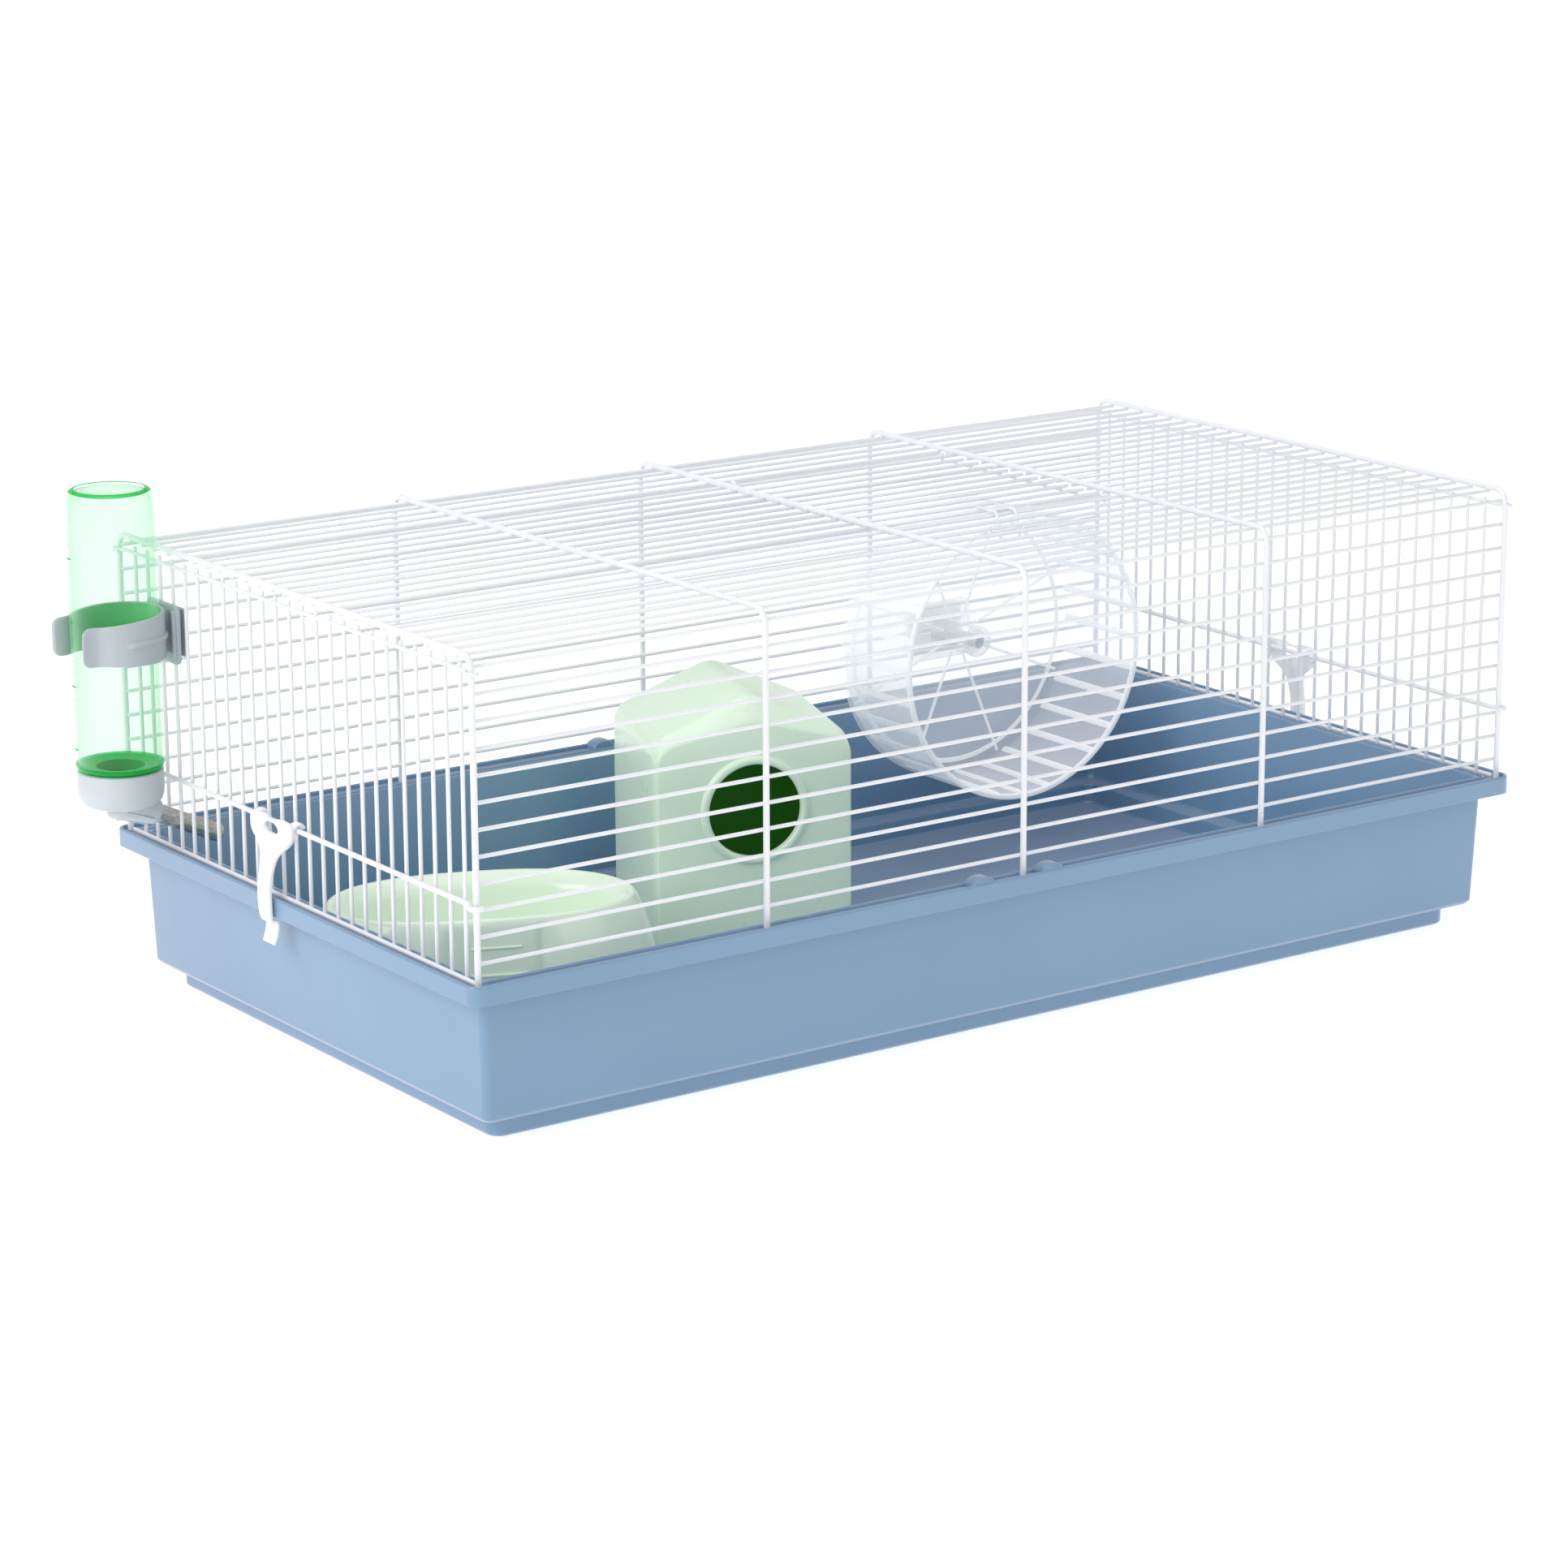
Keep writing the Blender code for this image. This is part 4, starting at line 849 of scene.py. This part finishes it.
for i in range(8):
    t = 2 * math.pi * (i + 0.5) / 8
    rad = Vector((math.cos(t), 0, math.sin(t)))
    g.tube([WC + rad * 9.5 + Vector((0, Y1 - 1.7, 0)), WC + rad * (R - 3.5) + Vector((0, Y1 - 1.7, 0))],
           0.8, 8)
g.lathe([(65.2 + 1.3 * math.cos(RAD(60 * k)), Y1 - 1.7 + 0.8 * math.sin(RAD(60 * k)))
         for k in range(6)], WC, (0, 1, 0), 120)
make("wheel_ribs", g, CLEAR_RIB, "wheel", (), 40.0)
g = Geo()
g.lathe([(R - 0.75 + 1.55 * math.cos(RAD(45 * k + 22.5)), Y0 + 1.55 + 1.5 * math.sin(RAD(45 * k + 22.5)))
         for k in range(8)], WC, (0, 1, 0), 144)
make("wheel_front_bead", g, CLEAR_RIM, "wheel", (), 60.0)

BRY = LEG_Y - WALL_IN
g = Geo()
g.lathe([(0.0, Y1 - 21.0), (2.6, Y1 - 21.0), (3.0, Y1 - 20.6), (3.0, BRY - 4.2), (0.0, BRY - 4.2)],
        WC, (0, 1, 0), 32, closed=False)
make("wheel_pin", g, PIN, "cage_top", ["wheel_axle"], 40.0)
g = Geo()
g.lathe([(3.25, Y1 - 21.8), (5.0, Y1 - 22.0), (6.6, Y1 - 21.5), (7.6, Y1 - 20.6), (8.0, Y1 - 19.4),
         (8.0, Y1 - 17.8), (7.6, Y1 - 17.2), (3.25, Y1 - 17.2)], WC, (0, 1, 0), 40)
make("wheel_knob", g, BRACKET, "cage_top", ["wheel_cap"], 40.0)
g = Geo()
g.lathe([(3.25, Y1 + 0.7), (6.0, Y1 + 0.7), (6.4, Y1 + 1.1), (6.4, BRY - 4.9), (6.0, BRY - 4.4),
         (3.25, BRY - 4.4)], WC, (0, 1, 0), 40)
make("wheel_distance_ring", g, BRACKET, "cage_top", ["wheel_spacer"], 40.0)
zw = [WALL_Z0 + k * PITCH_Z for k in range(WALL_N)]
below = max(z for z in zw if z < WHEEL_Z + 2.0)
g = Geo()
g.slab(plate2d(20.0, 15.0, 5.0, 8, WHEEL_X, WHEEL_Z), "Y", BRY - 4.0, BRY - 1.3, 0.7)
g.slab(plate2d(18.0, 12.5, 4.0, 8, WHEEL_X, WHEEL_Z + 0.5), "Y", BRY + 1.3, BRY + 3.3, 0.6)
for zc2 in (below - PITCH_Z / 2, below + PITCH_Z / 2):
    g.slab(plate2d(15.0, PITCH_Z / 2 - 2.0, 1.0, 4, WHEEL_X, zc2), "Y", BRY - 2.2, BRY + 2.2, 0.2)
make("wheel_holder", g, BRACKET, "cage_top", ["wheel_bracket"], 40.0)

# -------------------------------------------------------------------- house
HZ = FLOOR_Z + GAP


def gable(w, eave, apex, z_low, soft, n=6):
    """Closed outline with rounded eaves and ridge, counter-clockwise."""
    h = w / 2
    corners = [Vector((h, 0, z_low)), Vector((h, 0, eave)), Vector((0, 0, apex)),
               Vector((-h, 0, eave)), Vector((-h, 0, z_low))]
    path = fillet(corners, [0, soft, soft * 1.3, soft, 0], n)
    return [(p.x, p.z) for p in path]


def shell(rows, z_low, soft):
    """Gable outlines front to back: y, side inset, eave drop, ridge drop."""
    rings = []
    for y, side, eave, ridge in rows:
        gg = gable(HOUSE_W - 2 * side, HZ + HOUSE_EAVE - eave, HZ + HOUSE_APEX - ridge, z_low, soft)
        rings.append(place([(x, y, z) for x, z in gg], HOUSE_X, HOUSE_Y, HOUSE_TURN))
    return rings


D2 = HOUSE_D / 2
g = Geo()
g.rings(shell([(-D2, 1.7, 3.2, 12.6), (-D2 + 0.25, 1.15, 2.5, 11.8), (-D2 + 0.7, 0.65, 1.9, 10.9),
               (-D2 + 1.3, 0.35, 1.5, 9.9), (-D2 + 7.2, 0.05, 0.3, 1.6), (-D2 + 8.0, 0.02, 0.12, 0.7),
               (-D2 + 9.0, 0.0, 0.03, 0.2), (-D2 + 10.5, 0.0, 0.0, 0.0), (D2 - 5.0, 0.0, 0.0, 0.0),
               (D2 - 3.0, 0.4, 0.3, 0.5), (D2 - 1.5, 1.2, 0.9, 1.3), (D2 - 0.5, 2.5, 1.8, 2.6),
               (D2, 4.2, 3.0, 4.4)], HZ, 10.5))
outer = make("house_shell", g, [MINT, MINT_SHADED_IN], "house", ["house"], 34.0)

T = 2.0
inner_rows = [(-D2 + T, 3.4, 5.4, 14.6), (-D2 + T + 1.2, T + 0.4, 4.0, 12.8),
              (-D2 + T + 7.8, T, 2.2, 2.6), (D2 - T - 3.4, T, 2.2, 2.4), (D2 - T, 4.4, 3.4, 4.6)]
DOOR_Z, DOOR_R = HZ + 67.5, 22.5


def tool(name, geo, mats):
    me = bpy.data.meshes.new(name)
    me.from_pydata([(x * MM, y * MM, z * MM) for x, y, z in geo.v], [], geo.f)
    for mat in mats:
        me.materials.append(mat)
    me.polygons.foreach_set("material_index", geo.m)
    bm = bmesh.new()
    bm.from_mesh(me)
    bmesh.ops.recalc_face_normals(bm, faces=bm.faces)
    bm.to_mesh(me)
    bm.free()
    ob = bpy.data.objects.new(name, me)
    bpy.context.scene.collection.objects.link(ob)
    return ob


def disc(y0, y1, r0, r1, n=64):
    res = []
    for y, r in ((y0, r0), (y1, r1)):
        res.append(place([(r * math.cos(2 * math.pi * i / n), y,
                           DOOR_Z + r * math.sin(2 * math.pi * i / n)) for i in range(n)],
                         HOUSE_X, HOUSE_Y, HOUSE_TURN))
    return res


gi = Geo()
gi.slot = 1
gi.rings(shell(inner_rows, HZ - 6.0, 9.0))
gd = Geo()
gd.rings(disc(-D2 - 8.0, -D2 + 11.0, DOOR_R, DOOR_R))
for t_ob in (tool("cut_inside", gi, [MINT, MINT_SHADED_IN]), tool("cut_door", gd, [MINT, MINT_SHADED_IN])):
    mod = outer.modifiers.new("cut", "BOOLEAN")
    mod.operation = "DIFFERENCE"
    mod.solver = "EXACT"
    mod.object = t_ob
dg = bpy.context.evaluated_depsgraph_get()
done = bpy.data.meshes.new_from_object(outer.evaluated_get(dg))
outer.modifiers.clear()
outer.data = done
for ob in [o for o in bpy.data.objects if o.name.startswith("cut_")]:
    bpy.data.objects.remove(ob, do_unlink=True)
outer.data.shade_smooth()
outer.data.set_sharp_from_angle(angle=RAD(34.0))

g = Geo()
# raised ring round the doorway
ring_prof = [(22.4, 1.8), (22.4, -1.3), (22.7, -1.8), (23.4, -2.15), (24.6, -2.15), (25.4, -1.8),
             (26.0, -1.1), (26.5, 0.2), (27.0, 0.8), (27.0, 1.8)]
rings = []
for k in range(72):
    t = 2 * math.pi * k / 72
    rings.append(place([(r * math.cos(t), -D2 + h, DOOR_Z + r * math.sin(t)) for r, h in ring_prof],
                       HOUSE_X, HOUSE_Y, HOUSE_TURN))
g.rings(rings, closed=True)
make("house_doorway_ring", g, MINT, "house", (), 34.0)

# --------------------------------------------------------------------- bowl
NBW = 360


def smooth01(x):
    x = min(1.0, max(0.0, x))
    return x * x * (3 - 2 * x)


def bowl_outline(grow, lobe, z, crease=0.0):
    pts = []
    for i in range(NBW):
        t = 2 * math.pi * (i + 0.5) / NBW
        c, s4 = math.cos(t), math.sin(t)
        x = 71.0 * math.copysign(abs(c) ** 0.80, c)
        y = 41.5 * math.copysign(abs(s4) ** 0.80, s4)
        x *= 1.0 - 0.10 * max(0.0, y / 41.5)
        bulge = lobe * smooth01((abs(x) - 19.0) / 12.0)
        dent = 1.3 * crease * math.exp(-((abs(x) - 20.0) / 1.7) ** 2)
        d = Vector((x / 71.0, y / 41.5)).normalized()
        pts.append((x + (grow + bulge - dent) * d.x, y + (grow + bulge - dent) * d.y, z))
    return place(pts, BOWL_X, BOWL_Y, BOWL_TURN)


B0 = FLOOR_Z + GAP
levels = spline([(4.5, 4.2, 0.0, 0.2), (6.0, 4.8, 1.6, 0.8), (6.4, 5.0, 5.0, 1.5),
                 (5.8, 4.8, 14.0, 1.7), (4.2, 4.0, 26.0, 1.6), (2.4, 2.7, 38.0, 1.2),
                 (1.3, 1.5, 44.5, 0.7), (0.5, 0.5, 48.8, 0.2), (-0.4, 0.0, 51.0, 0.0),
                 (-1.6, 0.0, 51.9, 0.0), (-3.0, 0.0, 51.9, 0.0), (-4.4, 0.0, 51.2, 0.0),
                 (-6.4, 0.0, 49.4, 0.0), (-8.8, 0.0, 46.9, 0.0), (-9.9, 0.0, 44.0, 0.0),
                 (-10.9, 0.0, 38.0, 0.0), (-12.6, 0.0, 28.0, 0.0), (-14.6, 0.0, 20.5, 0.0),
                 (-19.5, 0.0, 16.5, 0.0), (-30.0, 0.0, 16.0, 0.0)], 3)
g = Geo()
g.rings([bowl_outline(gr, lo, B0 + z, cr) for gr, lo, z, cr in levels])
for zr, half in ((39.5, 11.0), (27.5, 12.5)):
    near = min(levels[:40], key=lambda q: abs(q[2] - zr))
    run = [i for i in range(NBW // 2, NBW)
           if 71.0 * abs(math.cos(2 * math.pi * (i + 0.5) / NBW)) ** 0.8 < half]
    ring = bowl_outline(near[0] + 0.25, near[1], B0 + zr)
    g.tube([ring[i] for i in run], 0.65, 8)
make("bowl_moulded", g, MINT_B, "bowl", ["food_bowl"], 40.0)

# ---------------------------------------------------------------- surroundings
fm, nt, b, tc = nodes_of("studio_floor")
big = noise(nt, tc, 1.2, 2.0)
nt.links.new(mixed(nt, ranged(nt, big.outputs["Fac"], 0.0, 1.0), (0.595, 0.595, 0.595), (0.605, 0.605, 0.605)),
             b.inputs["Base Color"])
b.inputs["Roughness"].default_value = 0.9
b.inputs["Specular IOR Level"].default_value = 0.1
b.inputs["Emission Color"].default_value = (1.0, 1.0, 1.0, 1.0)
b.inputs["Emission Strength"].default_value = 0.73
bm = bmesh.new()
n_f = 96
vs = [bm.verts.new((14.0 * math.cos(2 * math.pi * k / n_f), 14.0 * math.sin(2 * math.pi * k / n_f), -0.0004))
      for k in range(n_f)]
bm.faces.new(vs)
me = bpy.data.meshes.new("floor")
bm.to_mesh(me)
bm.free()
me.materials.append(fm)
floor = bpy.data.objects.new("floor", me)
bpy.context.scene.collection.objects.link(floor)

world = bpy.data.worlds.new("studio")
bpy.context.scene.world = world
world.use_nodes = True
bg = world.node_tree.nodes["Background"]
bg.inputs["Color"].default_value = (1.0, 1.0, 1.0, 1.0)
bg.inputs["Strength"].default_value = 0.54
bg2 = world.node_tree.nodes.new("ShaderNodeBackground")
bg2.inputs["Color"].default_value = (1.0, 1.0, 1.0, 1.0)
bg2.inputs["Strength"].default_value = 1.0
lp = world.node_tree.nodes.new("ShaderNodeLightPath")
mx = world.node_tree.nodes.new("ShaderNodeMixShader")
wl = world.node_tree.links
wl.new(lp.outputs["Is Camera Ray"], mx.inputs["Fac"])
wl.new(bg.outputs["Background"], mx.inputs[1])
wl.new(bg2.outputs["Background"], mx.inputs[2])
wl.new(mx.outputs["Shader"], world.node_tree.nodes["World Output"].inputs["Surface"])


def area(name, loc, aim, size, power, colour=(1.0, 1.0, 1.0)):
    li = bpy.data.lights.new(name, "AREA")
    li.shape = "RECTANGLE"
    li.size, li.size_y = size
    li.energy = power
    li.color = colour
    ob = bpy.data.objects.new(name, li)
    ob.location = loc
    d = Vector(aim) - Vector(loc)
    ob.rotation_mode = "QUATERNION"
    ob.rotation_quaternion = d.to_track_quat("-Z", "Y")
    bpy.context.scene.collection.objects.link(ob)
    return ob


area("key_left", (-2.6, -0.2, 1.5), (0.0, 0.0, 0.1), (2.2, 1.8), 46.0, (1.0, 0.970, 0.965))
area("top_soft", (0.2, 0.2, 2.6), (0.0, 0.0, 0.1), (2.6, 2.0), 22.0)
area("front_fill", (0.7, -3.0, 1.5), (0.0, 0.0, 0.1), (2.4, 1.6), 11.0)

cam = bpy.data.cameras.new("camera")
cam.sensor_width = 36.0
cam.lens = 108.39
cam.clip_start, cam.clip_end = 0.05, 60.0
co = bpy.data.objects.new("camera", cam)
bpy.context.scene.collection.objects.link(co)
fwd = Vector((0.5587, 0.7890, -0.2557)).normalized()
right = fwd.cross(Vector((0, 0, 1))).normalized()
up = right.cross(fwd)
roll = RAD(-0.27)
c, s5 = math.cos(roll), math.sin(roll)
r2, u2 = right * c + up * s5, up * c - right * s5
rot = Matrix((r2, u2, -fwd)).transposed()
co.matrix_world = Matrix.Translation((-1.25147, -1.73360, 0.64803)) @ rot.to_4x4()
bpy.context.scene.camera = co

bpy.context.scene.view_settings.view_transform = "Standard"
